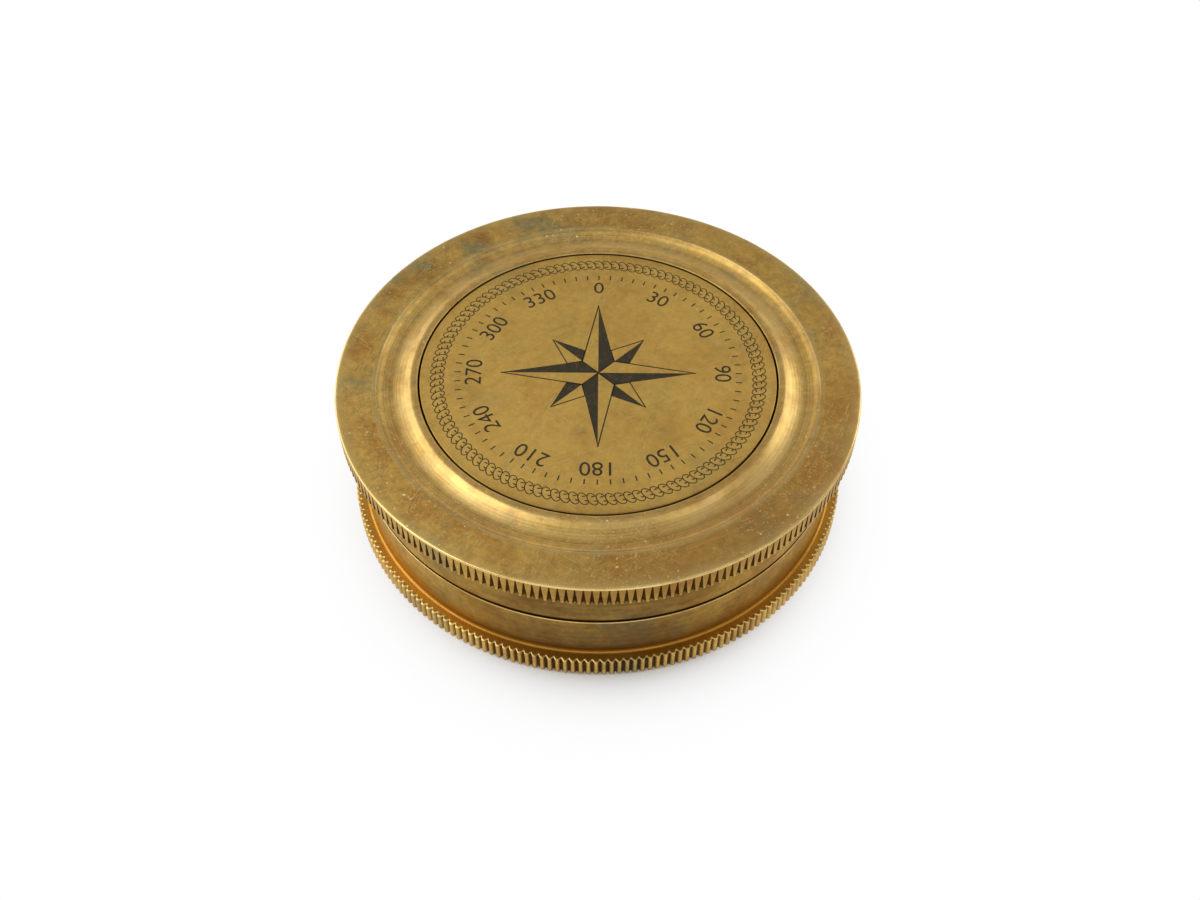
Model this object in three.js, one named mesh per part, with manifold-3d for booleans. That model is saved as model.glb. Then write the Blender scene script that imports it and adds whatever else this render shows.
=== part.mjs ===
// Round brass pocket compass with a knurled screw-on lid, closed.
// Millimetres, +Z up, origin in the middle of the underside.

import * as THREE from 'three';
import { mergeVertices } from 'three/addons/utils/BufferGeometryUtils.js';
import Module from 'manifold-3d';

// Case and lid, outside
const CASE_DIAMETER = 71.5;
const CASE_WALL_HEIGHT = 7.35;
const FOOT_OVERHANG = 1.75;
const FOOT_HEIGHT = 3.15;
const FOOT_FILLET = 0.4;
const SHOULDER_CHAMFER = 0.1;
const SEAM_GAP = 0.5;
const SKIRT_HEIGHT = 7.35;
const LID_OVERHANG = 2.25;
const LID_RIM_HEIGHT = 3.35;
const LID_EDGE_CHAMFER = 0.2;

// Straight knurls: the lid's notches run out below its top edge, the foot's go right through
const LID_TEETH = 216;
const LID_NOTCH_DEPTH = 0.38;
const LID_NOTCH_ANGLE = THREE.MathUtils.degToRad(85);
const LID_PLAIN_EDGE = 0.25;
const FOOT_TEETH = 216;
const FOOT_NOTCH_DEPTH = 0.5;
const FOOT_NOTCH_ANGLE = THREE.MathUtils.degToRad(76);

// Turned face of the lid, from the rim inwards
const FLAT_RING_WIDTH = 5.7;
const COVE_OUTER_WIDTH = 2.4;
const COVE_INNER_WIDTH = 2.7;
const COVE_DEPTH = 0.72;
const LAND_WIDTH = 1;
const DISC_GAP = 0.3;
const DISC_THICKNESS = 1.1;
const DISC_SETBACK = 0.05;
const DISC_CHAMFER = 0.12;

// Inside of the lid
const LID_WEB = 1.55;
const SKIRT_WALL = 1.5;
const INNER_PLATE_THICKNESS = 0.8;
const INNER_PLATE_GAP = 1;

// Neck of the case, which carries the thread, and the chamber inside it
const THREAD_CLEARANCE = 0.55;
const NECK_WALL = 1.9;
const NECK_CHAMFER = 0.3;
const NECK_HEADROOM = 2.6;
const FLOOR_THICKNESS = 2.4;
const BORE_GAP = 0.2;

// Glass and the split ring that holds it
const GLASS_THICKNESS = 1.6;
const SNAP_RING_HEIGHT = 1;
const SNAP_RING_WIDTH = 1.45;
const SNAP_RING_OPENING = 6;
const GROOVE_DEPTH = 0.8;
const GROOVE_CLEARANCE = 0.15;
const NECK_LIP = 1.1;

// Dial, its screws and the degree ring
const DIAL_THICKNESS = 1;
const DEGREE_RING_FOOT = 4;
const DEGREE_RING_TOP = 2;
const DEGREE_RING_STEP = 1;
const SCREW_PITCH = 36;
const SCREW_SHANK = 1.6;
const SCREW_HEAD = 3.2;
const SCREW_HEAD_HEIGHT = 0.8;
const SCREW_DEPTH = 1.3;
const SCREW_SLOT_WIDTH = 0.45;
const SCREW_SLOT_DEPTH = 0.4;

// Pivot and needle
const FIT_GAP = 0.15;
const POST_DIAMETER = 2.4;
const POST_SHANK_DEPTH = 1.2;
const POST_SHOULDER = 6.4;
const POST_SHOULDER_HEIGHT = 0.6;
const PIN_DIAMETER = 1;
const PIN_SEAT = 1.2;
const PIN_REACH = 2.4;
const PIN_POINT = 1.2;
const NEEDLE_HEADROOM = 1.5;
const CAP_CROWN = 0.7;
const CAP_DIAMETER = 3.6;
const CAP_FLANGE = 5.6;
const CAP_FLANGE_HEIGHT = 0.4;
const JEWEL_DIAMETER = 2.2;
const JEWEL_HEIGHT = 1.6;
const JEWEL_SOCKET_DEPTH = 1;
const JEWEL_SOCKET_MOUTH = 1.5;
const POINT_CLEARANCE = 0.08;
const BLADE_THICKNESS = 0.4;
const BLADE_WIDTH = 7;
const BLADE_WAIST = 0.36;
const BLADE_TIP_GAP = 2;

// Fineness of the round forms
const OUTER_FACETS = 88;
const INNER_FACETS = 56;
const SMALL_FACETS = 24;
const CURVE_STEPS = 4;
const FILLET_STEPS = 2;
const CUT_OVERRUN = 0.3;

// Levels, from the underside up
const footTop = FOOT_HEIGHT;
const shoulder = footTop + CASE_WALL_HEIGHT;
const skirtBottom = shoulder + SEAM_GAP;
const rimBottom = skirtBottom + SKIRT_HEIGHT;
const lidTop = rimBottom + LID_RIM_HEIGHT;
const discTop = lidTop - DISC_SETBACK;
const discSeat = discTop - DISC_THICKNESS;
const ceiling = discSeat - LID_WEB;
const innerPlateBottom = ceiling - INNER_PLATE_THICKNESS;
const neckTop = innerPlateBottom - NECK_HEADROOM;
const snapRingTop = neckTop - NECK_LIP;
const glassTop = snapRingTop - SNAP_RING_HEIGHT;
const glassBottom = glassTop - GLASS_THICKNESS;
const dialTop = FLOOR_THICKNESS + DIAL_THICKNESS;
const capTop = glassBottom - NEEDLE_HEADROOM;
const jewelTop = capTop - CAP_CROWN;
const jewelBottom = jewelTop - JEWEL_HEIGHT;
const socketApex = jewelBottom + JEWEL_SOCKET_DEPTH;
const pinTip = socketApex - POINT_CLEARANCE;
const postTop = pinTip - PIN_REACH;
const pinBottom = postTop - PIN_SEAT;
const bladeBottom = jewelBottom + CAP_FLANGE_HEIGHT;

// Radii, from the outside in
const caseRadius = CASE_DIAMETER / 2;
const footRadius = caseRadius + FOOT_OVERHANG;
const lidRadius = caseRadius + LID_OVERHANG;
const coveOuter = lidRadius - FLAT_RING_WIDTH;
const coveValley = coveOuter - COVE_OUTER_WIDTH;
const landOuter = coveValley - COVE_INNER_WIDTH;
const recessRadius = landOuter - LAND_WIDTH;
const discRadius = recessRadius - DISC_GAP;
const skirtBore = caseRadius - SKIRT_WALL;
const neckRadius = skirtBore - THREAD_CLEARANCE;
const caseBore = neckRadius - NECK_WALL;
const insertRadius = caseBore - BORE_GAP;
const grooveRadius = caseBore + GROOVE_DEPTH;
const ringInner = insertRadius - DEGREE_RING_FOOT;
const bladeReach = ringInner - BLADE_TIP_GAP;
const shankHole = POST_DIAMETER / 2 + FIT_GAP;
const screwHole = SCREW_SHANK / 2 + FIT_GAP;

const wasm = await Module();
wasm.setup();

// Colours and finishes
const finish = (color, roughness, metalness) => new THREE.MeshStandardMaterial({ color, roughness, metalness });
const agedBrass = finish(0xa07c3e, 0.38, 1);
const discBrass = finish(0xb08c44, 0.32, 1);
const turnedBrass = finish(0xb9964e, 0.3, 1);
const dialEnamel = finish(0xe6dcc0, 0.55, 0);
const blueSteel = finish(0x26304e, 0.3, 1);
const brightSteel = finish(0xb9bbbd, 0.25, 1);
const jewelRed = finish(0x8a2338, 0.1, 0);
const clearGlass = new THREE.MeshStandardMaterial({
  color: 0xeaf2f2,
  roughness: 0.04,
  metalness: 0,
  transparent: true,
  opacity: 0.25,
});

// Closed solid from a three.js geometry, with shared corners merged and collapsed triangles dropped
function solid(geometry) {
  const bare = geometry.clone();
  bare.deleteAttribute('normal');
  bare.deleteAttribute('uv');
  const merged = mergeVertices(bare);
  const corners = merged.index.array;
  const triangles = [];
  for (let i = 0; i < corners.length; i += 3) {
    const [a, b, c] = corners.slice(i, i + 3);
    if (a !== b && b !== c && c !== a) triangles.push(a, b, c);
  }
  return new wasm.Manifold(new wasm.Mesh({
    numProp: 3,
    vertProperties: new Float32Array(merged.attributes.position.array),
    triVerts: new Uint32Array(triangles),
  }));
}

// Profile of [radius, height] points turned about the Z axis; it runs with the material on its left
function turned(profile, facets) {
  const points = profile.map(([radius, height]) => new THREE.Vector2(radius, height));
  return solid(new THREE.LatheGeometry(points, facets).rotateX(Math.PI / 2));
}

// Ring whose section closes on itself
const turnedRing = (profile, facets) => turned([...profile, profile[0]], facets);

// Upright round bar between two levels
const bar = (radius, bottom, top, facets) => turned([[0, bottom], [radius, bottom], [radius, top], [0, top]], facets);

// Flat outline with thickness, its underside at a level
function plate(shape, bottom, thickness, curveSegments) {
  const geometry = new THREE.ExtrudeGeometry(shape, { depth: thickness, bevelEnabled: false, curveSegments });
  return solid(geometry.translate(0, 0, bottom));
}

const pairs = (points) => points.map((point) => [point.x, point.y]);

// V-shaped cutters all round a rim; the depth changes evenly from the bottom to the top of the notch
function knurl({ teeth, radius, bottom, top, depthBottom, depthTop, angle }) {
  const lean = Math.atan2(depthBottom - depthTop, top - bottom);
  const length = Math.hypot(depthBottom - depthTop, top - bottom) + 2 * CUT_OVERRUN;
  const reach = Math.max(depthBottom, depthTop) + CUT_OVERRUN;
  const mouth = reach * Math.tan(angle / 2);
  const vee = new THREE.Shape([
    new THREE.Vector2(0, 0),
    new THREE.Vector2(reach, -mouth),
    new THREE.Vector2(reach, mouth),
  ]);
  const cutter = new THREE.ExtrudeGeometry(vee, { depth: length, bevelEnabled: false });
  cutter.translate(0, 0, -CUT_OVERRUN).rotateY(lean).translate(radius - depthBottom, 0, bottom);
  const cutters = [];
  for (let tooth = 0; tooth < teeth; tooth += 1) {
    cutters.push(solid(cutter.clone().rotateZ(2 * Math.PI * (tooth + 0.5) / teeth)));
  }
  return wasm.Manifold.union(cutters);
}

// Quarter arc that rounds the inner corner between the foot and the wall, from the foot upwards
function footFillet() {
  const arc = new THREE.EllipseCurve(
    caseRadius + FOOT_FILLET, footTop + FOOT_FILLET,
    FOOT_FILLET, FOOT_FILLET,
    -Math.PI / 2, -Math.PI, true,
  );
  return pairs(arc.getPoints(FILLET_STEPS));
}

// Shallow cove turned into the lid: it sinks from the flat ring and rises again, over a wider slope, to the land
function lidCove() {
  const sink = new THREE.QuadraticBezierCurve(
    new THREE.Vector2(coveOuter, lidTop),
    new THREE.Vector2((coveOuter + coveValley) / 2, lidTop - COVE_DEPTH),
    new THREE.Vector2(coveValley, lidTop - COVE_DEPTH),
  );
  const rise = new THREE.QuadraticBezierCurve(
    new THREE.Vector2(coveValley, lidTop - COVE_DEPTH),
    new THREE.Vector2((coveValley + landOuter) / 2, lidTop - COVE_DEPTH),
    new THREE.Vector2(landOuter, lidTop),
  );
  return pairs([...sink.getPoints(CURVE_STEPS), ...rise.getPoints(CURVE_STEPS).slice(1)]);
}

// Both screws stand on the dial, left and right of the pivot
function screwHoles(bottom, top) {
  const hole = bar(screwHole, bottom, top, SMALL_FACETS);
  return hole.translate([-SCREW_PITCH / 2, 0, 0]).add(hole.translate([SCREW_PITCH / 2, 0, 0]));
}

function baseCase() {
  const body = turned([
    [0, 0],
    [footRadius, 0],
    [footRadius, footTop],
    ...footFillet(),
    [caseRadius, shoulder - SHOULDER_CHAMFER],
    [caseRadius - SHOULDER_CHAMFER, shoulder],
    [neckRadius, shoulder],
    [neckRadius, neckTop - NECK_CHAMFER],
    [neckRadius - NECK_CHAMFER, neckTop],
    [caseBore, neckTop],
    [caseBore, snapRingTop + GROOVE_CLEARANCE],
    [grooveRadius, snapRingTop + GROOVE_CLEARANCE],
    [grooveRadius, glassTop - GROOVE_CLEARANCE],
    [caseBore, glassTop - GROOVE_CLEARANCE],
    [caseBore, FLOOR_THICKNESS],
    [shankHole, FLOOR_THICKNESS],
    [shankHole, FLOOR_THICKNESS - POST_SHANK_DEPTH - FIT_GAP],
    [0, FLOOR_THICKNESS - POST_SHANK_DEPTH - FIT_GAP],
  ], OUTER_FACETS);
  const notches = knurl({
    teeth: FOOT_TEETH,
    radius: footRadius,
    bottom: 0,
    top: footTop,
    depthBottom: FOOT_NOTCH_DEPTH,
    depthTop: FOOT_NOTCH_DEPTH,
    angle: FOOT_NOTCH_ANGLE,
  });
  const holes = screwHoles(FLOOR_THICKNESS - SCREW_DEPTH - FIT_GAP, FLOOR_THICKNESS + CUT_OVERRUN);
  return body.subtract(notches).subtract(holes);
}

function lidShell() {
  const body = turned([
    [0, ceiling],
    [skirtBore, ceiling],
    [skirtBore, skirtBottom],
    [caseRadius, skirtBottom],
    [caseRadius, rimBottom],
    [lidRadius, rimBottom],
    [lidRadius, lidTop - LID_EDGE_CHAMFER],
    [lidRadius - LID_EDGE_CHAMFER, lidTop],
    ...lidCove(),
    [recessRadius, lidTop],
    [recessRadius, discSeat],
    [0, discSeat],
  ], OUTER_FACETS);
  const notches = knurl({
    teeth: LID_TEETH,
    radius: lidRadius,
    bottom: rimBottom,
    top: lidTop - LID_PLAIN_EDGE,
    depthBottom: LID_NOTCH_DEPTH,
    depthTop: 0,
    angle: LID_NOTCH_ANGLE,
  });
  return body.subtract(notches);
}

const lidDisc = () => turned([
  [0, discSeat],
  [discRadius, discSeat],
  [discRadius, discTop - DISC_CHAMFER],
  [discRadius - DISC_CHAMFER, discTop],
  [0, discTop],
], INNER_FACETS);

const lidInnerPlate = () => bar(skirtBore - INNER_PLATE_GAP, innerPlateBottom, ceiling, INNER_FACETS);

function dialPlate() {
  const face = turnedRing([
    [shankHole, FLOOR_THICKNESS],
    [insertRadius, FLOOR_THICKNESS],
    [insertRadius, dialTop],
    [shankHole, dialTop],
  ], INNER_FACETS);
  return face.subtract(screwHoles(FLOOR_THICKNESS - CUT_OVERRUN, dialTop + CUT_OVERRUN));
}

// Slotted cheese-head screw through the dial into the floor of the case
function dialScrew(side) {
  const headTop = dialTop + SCREW_HEAD_HEIGHT;
  const body = turned([
    [0, FLOOR_THICKNESS - SCREW_DEPTH],
    [SCREW_SHANK / 2, FLOOR_THICKNESS - SCREW_DEPTH],
    [SCREW_SHANK / 2, dialTop],
    [SCREW_HEAD / 2, dialTop],
    [SCREW_HEAD / 2, headTop],
    [0, headTop],
  ], SMALL_FACETS);
  const cutter = new THREE.BoxGeometry(SCREW_SLOT_WIDTH, 2 * SCREW_HEAD, 2 * SCREW_SLOT_DEPTH);
  const slot = solid(cutter.translate(0, 0, headTop));
  return body.subtract(slot).translate([side * SCREW_PITCH / 2, 0, 0]);
}

const degreeRing = () => turnedRing([
  [ringInner, dialTop],
  [insertRadius, dialTop],
  [insertRadius, glassBottom],
  [insertRadius - DEGREE_RING_TOP, glassBottom],
  [ringInner, dialTop + DEGREE_RING_STEP],
], INNER_FACETS);

const coverGlass = () => bar(insertRadius, glassBottom, glassTop, INNER_FACETS);

// C-shaped spring ring; its opening faces the back of the case
function glassSnapRing() {
  const outer = grooveRadius - GROOVE_CLEARANCE - FIT_GAP;
  const inner = outer - SNAP_RING_WIDTH;
  const halfOpening = SNAP_RING_OPENING / 2 / outer;
  const from = Math.PI / 2 + halfOpening;
  const to = Math.PI / 2 - halfOpening + 2 * Math.PI;
  const outline = new THREE.Shape();
  outline.absarc(0, 0, outer, from, to, false);
  outline.absarc(0, 0, inner, to, from, true);
  return plate(outline, glassTop, SNAP_RING_HEIGHT, INNER_FACETS / 2);
}

// Shouldered post: its shank passes through the dial, its top holds the pin
const pivotPost = () => turned([
  [0, FLOOR_THICKNESS - POST_SHANK_DEPTH],
  [POST_DIAMETER / 2, FLOOR_THICKNESS - POST_SHANK_DEPTH],
  [POST_DIAMETER / 2, dialTop],
  [POST_SHOULDER / 2, dialTop],
  [POST_SHOULDER / 2, dialTop + POST_SHOULDER_HEIGHT],
  [POST_DIAMETER / 2, postTop],
  [PIN_DIAMETER / 2 + FIT_GAP, postTop],
  [PIN_DIAMETER / 2 + FIT_GAP, pinBottom],
  [0, pinBottom],
], SMALL_FACETS);

const pivotPin = () => turned([
  [0, pinBottom],
  [PIN_DIAMETER / 2, pinBottom],
  [PIN_DIAMETER / 2, pinTip - PIN_POINT],
  [0, pinTip],
], SMALL_FACETS);

// Hollow jewel whose conical socket rides on the pin's point
const jewelBearing = () => turned([
  [0, socketApex],
  [JEWEL_SOCKET_MOUTH / 2, jewelBottom],
  [JEWEL_DIAMETER / 2, jewelBottom],
  [JEWEL_DIAMETER / 2, jewelTop],
  [0, jewelTop],
], SMALL_FACETS);

// Hub with a flange below the blade, a bore for the jewel and a domed crown
function needleCap() {
  const bladeTop = bladeBottom + BLADE_THICKNESS;
  const dome = new THREE.QuadraticBezierCurve(
    new THREE.Vector2(CAP_DIAMETER / 2, bladeTop),
    new THREE.Vector2(CAP_DIAMETER / 2, capTop),
    new THREE.Vector2(0, capTop),
  );
  return turned([
    [0, jewelTop],
    [JEWEL_DIAMETER / 2 + FIT_GAP, jewelTop],
    [JEWEL_DIAMETER / 2 + FIT_GAP, jewelBottom],
    [CAP_FLANGE / 2, jewelBottom],
    [CAP_FLANGE / 2, bladeBottom],
    [CAP_DIAMETER / 2, bladeBottom],
    ...pairs(dome.getPoints(CURVE_STEPS)),
  ], SMALL_FACETS);
}

// Lozenge blade with slightly hollow sides, pointing north along +Y
function needleBlade() {
  const half = BLADE_WIDTH / 2;
  const hollow = half * BLADE_WAIST;
  const outline = new THREE.Shape();
  outline.moveTo(half, 0);
  outline.quadraticCurveTo(hollow, bladeReach / 2, 0, bladeReach);
  outline.quadraticCurveTo(-hollow, bladeReach / 2, -half, 0);
  outline.quadraticCurveTo(-hollow, -bladeReach / 2, 0, -bladeReach);
  outline.quadraticCurveTo(hollow, -bladeReach / 2, half, 0);
  const eye = new THREE.Path();
  eye.absarc(0, 0, CAP_DIAMETER / 2 + FIT_GAP, 0, 2 * Math.PI, true);
  outline.holes.push(eye);
  return plate(outline, bladeBottom, BLADE_THICKNESS, SMALL_FACETS / 2);
}

// Named mesh of a finished solid
function piece(name, body, material) {
  const { vertProperties, triVerts } = body.getMesh();
  const geometry = new THREE.BufferGeometry();
  geometry.setAttribute('position', new THREE.BufferAttribute(vertProperties, 3));
  geometry.setIndex(new THREE.BufferAttribute(triVerts, 1));
  geometry.computeVertexNormals();
  const mesh = new THREE.Mesh(geometry, material);
  mesh.name = name;
  return mesh;
}

const lid = new THREE.Group();
lid.add(
  piece('lid_shell', lidShell(), agedBrass),
  piece('lid_disc', lidDisc(), discBrass),
  piece('lid_inner_plate', lidInnerPlate(), turnedBrass),
);

const needle = new THREE.Group();
needle.add(
  piece('needle_blade', needleBlade(), blueSteel),
  piece('needle_cap', needleCap(), turnedBrass),
  piece('jewel_bearing', jewelBearing(), jewelRed),
);

const base = new THREE.Group();
base.add(
  piece('base_case', baseCase(), agedBrass),
  piece('dial_plate', dialPlate(), dialEnamel),
  piece('dial_screw_west', dialScrew(-1), turnedBrass),
  piece('dial_screw_east', dialScrew(1), turnedBrass),
  piece('pivot_post', pivotPost(), turnedBrass),
  piece('pivot_pin', pivotPin(), brightSteel),
  piece('degree_ring', degreeRing(), turnedBrass),
  piece('cover_glass', coverGlass(), clearGlass),
  piece('glass_snap_ring', glassSnapRing(), turnedBrass),
);

const compass = new THREE.Group();
compass.add(base, needle, lid);

export default compass;
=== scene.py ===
"""Looks of a round brass pocket compass with a knurled screw-on lid, dressed over its packed frame."""

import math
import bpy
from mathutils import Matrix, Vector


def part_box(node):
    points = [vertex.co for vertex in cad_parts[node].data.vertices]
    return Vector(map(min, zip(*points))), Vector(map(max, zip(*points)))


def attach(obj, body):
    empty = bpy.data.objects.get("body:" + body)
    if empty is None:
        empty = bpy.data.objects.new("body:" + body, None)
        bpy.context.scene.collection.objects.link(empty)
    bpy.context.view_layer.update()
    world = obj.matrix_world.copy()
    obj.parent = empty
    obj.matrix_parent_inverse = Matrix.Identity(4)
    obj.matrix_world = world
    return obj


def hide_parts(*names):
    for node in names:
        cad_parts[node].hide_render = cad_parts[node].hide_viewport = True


bl_info = {
    "name": "Brass Pocket Compass",
    "version": (1, 0, 0),
    "blender": (4, 5, 0),
    "location": "3D View > Sidebar > Compass",
    "description": "Turned, knurled and engraved pieces of a pocket compass, with its aged brass finishes",
    "category": "Add Mesh",
}

from collections import namedtuple

import bmesh
import bpy
import numpy as np
from bpy.props import FloatProperty, FloatVectorProperty, IntProperty, PointerProperty
from mathutils import Matrix, Vector

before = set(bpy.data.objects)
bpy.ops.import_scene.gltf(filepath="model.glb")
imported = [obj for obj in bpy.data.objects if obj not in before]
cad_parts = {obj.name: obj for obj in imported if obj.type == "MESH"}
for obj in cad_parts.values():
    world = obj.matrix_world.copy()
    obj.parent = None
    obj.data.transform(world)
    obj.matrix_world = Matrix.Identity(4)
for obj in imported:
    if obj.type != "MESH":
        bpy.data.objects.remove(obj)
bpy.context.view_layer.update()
MM = 0.001


def extent(node):
    """Radius, bottom level and top level of a round node that stands on the compass's axis."""
    low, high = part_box(node)
    return high.x, low.z, high.z


# Sizes that the frame gives
LID_RADIUS, SKIRT_BOTTOM, LID_TOP = extent("lid_shell")
DISC_RADIUS, DISC_SEAT, DISC_TOP = extent("lid_disc")
LINING_RADIUS, LINING_BOTTOM, CEILING = extent("lid_inner_plate")
FOOT_RADIUS, UNDERSIDE, NECK_TOP = extent("base_case")
INSERT_RADIUS, FLOOR_LEVEL, DIAL_TOP = extent("dial_plate")
SHOULDER_RADIUS, POST_BOTTOM, POST_TOP = extent("pivot_post")
PIN_RADIUS, PIN_BOTTOM, PIN_TIP = extent("pivot_pin")
GLASS_RADIUS, GLASS_BOTTOM, GLASS_TOP = extent("cover_glass")
SPLIT_RING_RADIUS, SPLIT_RING_BOTTOM, SPLIT_RING_TOP = extent("glass_snap_ring")
FLANGE_RADIUS, CAP_BOTTOM, CAP_TOP = extent("needle_cap")
JEWEL_RADIUS, JEWEL_BOTTOM, JEWEL_TOP = extent("jewel_bearing")
BLADE_LOW, BLADE_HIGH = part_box("needle_blade")
SCREW_LOW, SCREW_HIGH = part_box("dial_screw_east")

# Fineness of the meshes
ROUNDING_STEPS = 4
CURVE_STEPS = 14
BLADE_STEPS = 20
LINK_POINTS = 22
CURL_STEPS = 6
FINE_COLUMNS = 240
SMALL_COLUMNS = 64
TABLE_COLUMNS = 96
SHARP_ANGLE = math.radians(38)
SAME_POINT = 1e-7
TOOTH_COLUMNS = (-1, -0.62, -0.5, -0.42, -0.22, -0.04, 0.04, 0.22, 0.42, 0.5, 0.62)

# How deep an inlay is let into its face, and how far it stands out
INLAY_DEPTH = 0.03 * MM
INLAY_RISE = 0.006 * MM

# Font size for a wanted height of its capitals
FONT_SCALE = 1.38

# Plain run of a screw thread's face below the ridge, and both plain runs together
THREAD_START = 0.9 * MM
THREAD_PLAIN = 1.6 * MM

# Link of the chain border: its half width in pitches, the ends of its open oval and its two curls
LINK_HALF_WIDTH = 0.54
LINK_OPENING = (math.radians(28), math.radians(332))
LINK_CURLS = (((0.62, -0.42), (0.2, -0.55), (-0.16, -0.3)), ((0.95, 0.2), (0.6, 0.42), (0.14, 0.24)))

# Width of a curl at its ends, and how much wider it is in its middle, in line widths
CURL_ENDS = 0.55
CURL_SWELLING = 0.9

# Directions in which the lid is stained, and towards which its top is browner and darker, and the directions
# of its scratches in degrees
STAINED_SIDE = (-0.8, 0.6, 0.0)
BROWNED_SIDE = (0.64, -0.77, 0.0)
SCRATCH_TURNS = (25.0, 70.0, 140.0)

# Table top: its drop below the foot, flat reach, edge, rise at the edge, and the reach of the foot's shade
TABLE_DROP = 0.02 * MM
TABLE_FLAT = 0.9
TABLE_EDGE = 1.2
TABLE_RISE = 0.3
SHADE_REACH = 3.2 * MM

# Numbers that a vertex of a turned mesh carries for its material: dark tarnish together with painted shade,
# worn edges together with painted highlights, and lathe lines
MARKS = ("grime", "wear", "lines")
SOCKETS = {int: "Int", float: "Float"}

PieceLook = namedtuple("PieceLook", "body nodes slot material")
BrassLook = namedtuple(
    "BrassLook",
    "clean tarnish mottle line_depth roughness specks scratches "
    "lacquer line_tone groove_tone stain_side flange",
    defaults=(0.0, 0.0, 0.0, 0.0, 0.0),
)
Corner = namedtuple(
    "Corner", "radius height rounding grime wear lines steps", defaults=(0.0, 0.0, 0.0, 0.3, 1)
)

# Lamps: angles in degrees, distance and sides in metres, level as seen from the compass
Lamp = namedtuple("Lamp", "name azimuth elevation distance width depth level")
LAMPS = (
    Lamp("left_panel", 162, 24, 0.6, 0.9, 0.5, 1.3),
    Lamp("left_softbox", 178, 60, 0.7, 0.5, 0.3, 2.4),
    Lamp("right_panel", 38, 34, 0.6, 0.28, 0.28, 1.9),
    Lamp("right_softbox", 350, 58, 0.7, 0.24, 0.3, 1.4),
    Lamp("back_panel", 90, 38, 0.7, 0.9, 0.75, 0.22),
    Lamp("front_panel", 270, 45, 0.6, 0.6, 0.5, 0.9),
    Lamp("top_panel", 90, 86, 0.6, 0.5, 0.5, 0.22),
)


def length(label, note, millimetres):
    """Length property, given in millimetres."""
    return FloatProperty(name=label, description=note, default=millimetres * MM, precision=5, unit="LENGTH")


def angle(label, note, degrees):
    """Angle property, given in degrees."""
    return FloatProperty(name=label, description=note, default=math.radians(degrees), subtype="ANGLE")


def count(label, note, number):
    """Whole number property."""
    return IntProperty(name=label, description=note, default=number, min=1)


def paint(label, note, *colour):
    """Colour property, in linear light."""
    return FloatVectorProperty(
        name=label, description=note, default=(*colour, 1.0), size=4, min=0.0, max=1.0, subtype="COLOR"
    )


def share(label, note, value):
    """Plain number property."""
    return FloatProperty(name=label, description=note, default=value, min=0.0)


class LidSizes(bpy.types.PropertyGroup):
    """Sizes of the lid that the frame's boxes don't give."""

    teeth: count("Teeth", "Teeth of the lid's knurl", 216)
    notch_depth: length("Notch depth", "Depth of a notch at the underside of the rim", 0.38)
    notch_end: length("Notch end", "Depth of a notch at its upper end", 0.08)
    plain_edge: length("Plain edge", "Smooth band between the notches and the top face", 0.3)
    notch_angle: angle("Notch angle", "Opening angle of a notch", 95)
    rim_height: length("Rim height", "Height of the knurled rim", 3.35)
    rim_overhang: length("Rim overhang", "How far the rim stands out over the skirt", 2.25)
    skirt_wall: length("Skirt wall", "Thickness of the skirt", 1.5)
    # Painted shade under the rim's overhang: the top of the skirt is darkened over this height
    dark_band: length("Dark band", "Height of the dark finish left under the rim", 2.65)
    ring_width: length("Ring width", "Width of the flat ring on top", 5.7)
    cove_outer: length("Outer cove", "Width of the outer slope of the cove", 2.4)
    cove_inner: length("Inner cove", "Width of the inner slope of the cove", 2.7)
    cove_depth: length("Cove depth", "Depth of the cove", 0.72)
    land_width: length("Land width", "Flat land between the cove and the disc", 1)


class CaseSizes(bpy.types.PropertyGroup):
    """Sizes of the case that the frame's boxes don't give."""

    teeth: count("Teeth", "Teeth of the foot's knurl", 216)
    notch_depth: length("Notch depth", "Depth of the foot's notches", 0.5)
    notch_angle: angle("Notch angle", "Opening angle of a notch", 76)
    tooth_bevel: length("Tooth bevel", "Bevel at the upper end of a tooth", 0.1)
    foot_height: length("Foot height", "Height of the knurled foot", 3.15)
    foot_overhang: length("Foot overhang", "How far the foot stands out from the wall", 1.75)
    foot_fillet: length("Foot fillet", "Rounding between the foot and the wall", 0.4)
    wall_height: length("Wall height", "Height of the plain wall over the foot", 7.35)
    shoulder_chamfer: length("Shoulder chamfer", "Chamfer at the top of the wall", 0.07)
    neck_chamfer: length("Neck chamfer", "Chamfer at the top of the neck", 0.3)
    thread_clearance: length("Thread clearance", "Room between the neck and the lid's skirt", 0.55)
    neck_wall: length("Neck wall", "Thickness of the neck", 1.9)
    groove_depth: length("Groove depth", "Depth of the groove for the split ring", 0.8)
    fit_gap: length("Fit gap", "Room round inserted pieces", 0.15)
    thread_turns: share("Thread turns", "Turns of the screw thread", 3.5)


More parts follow.
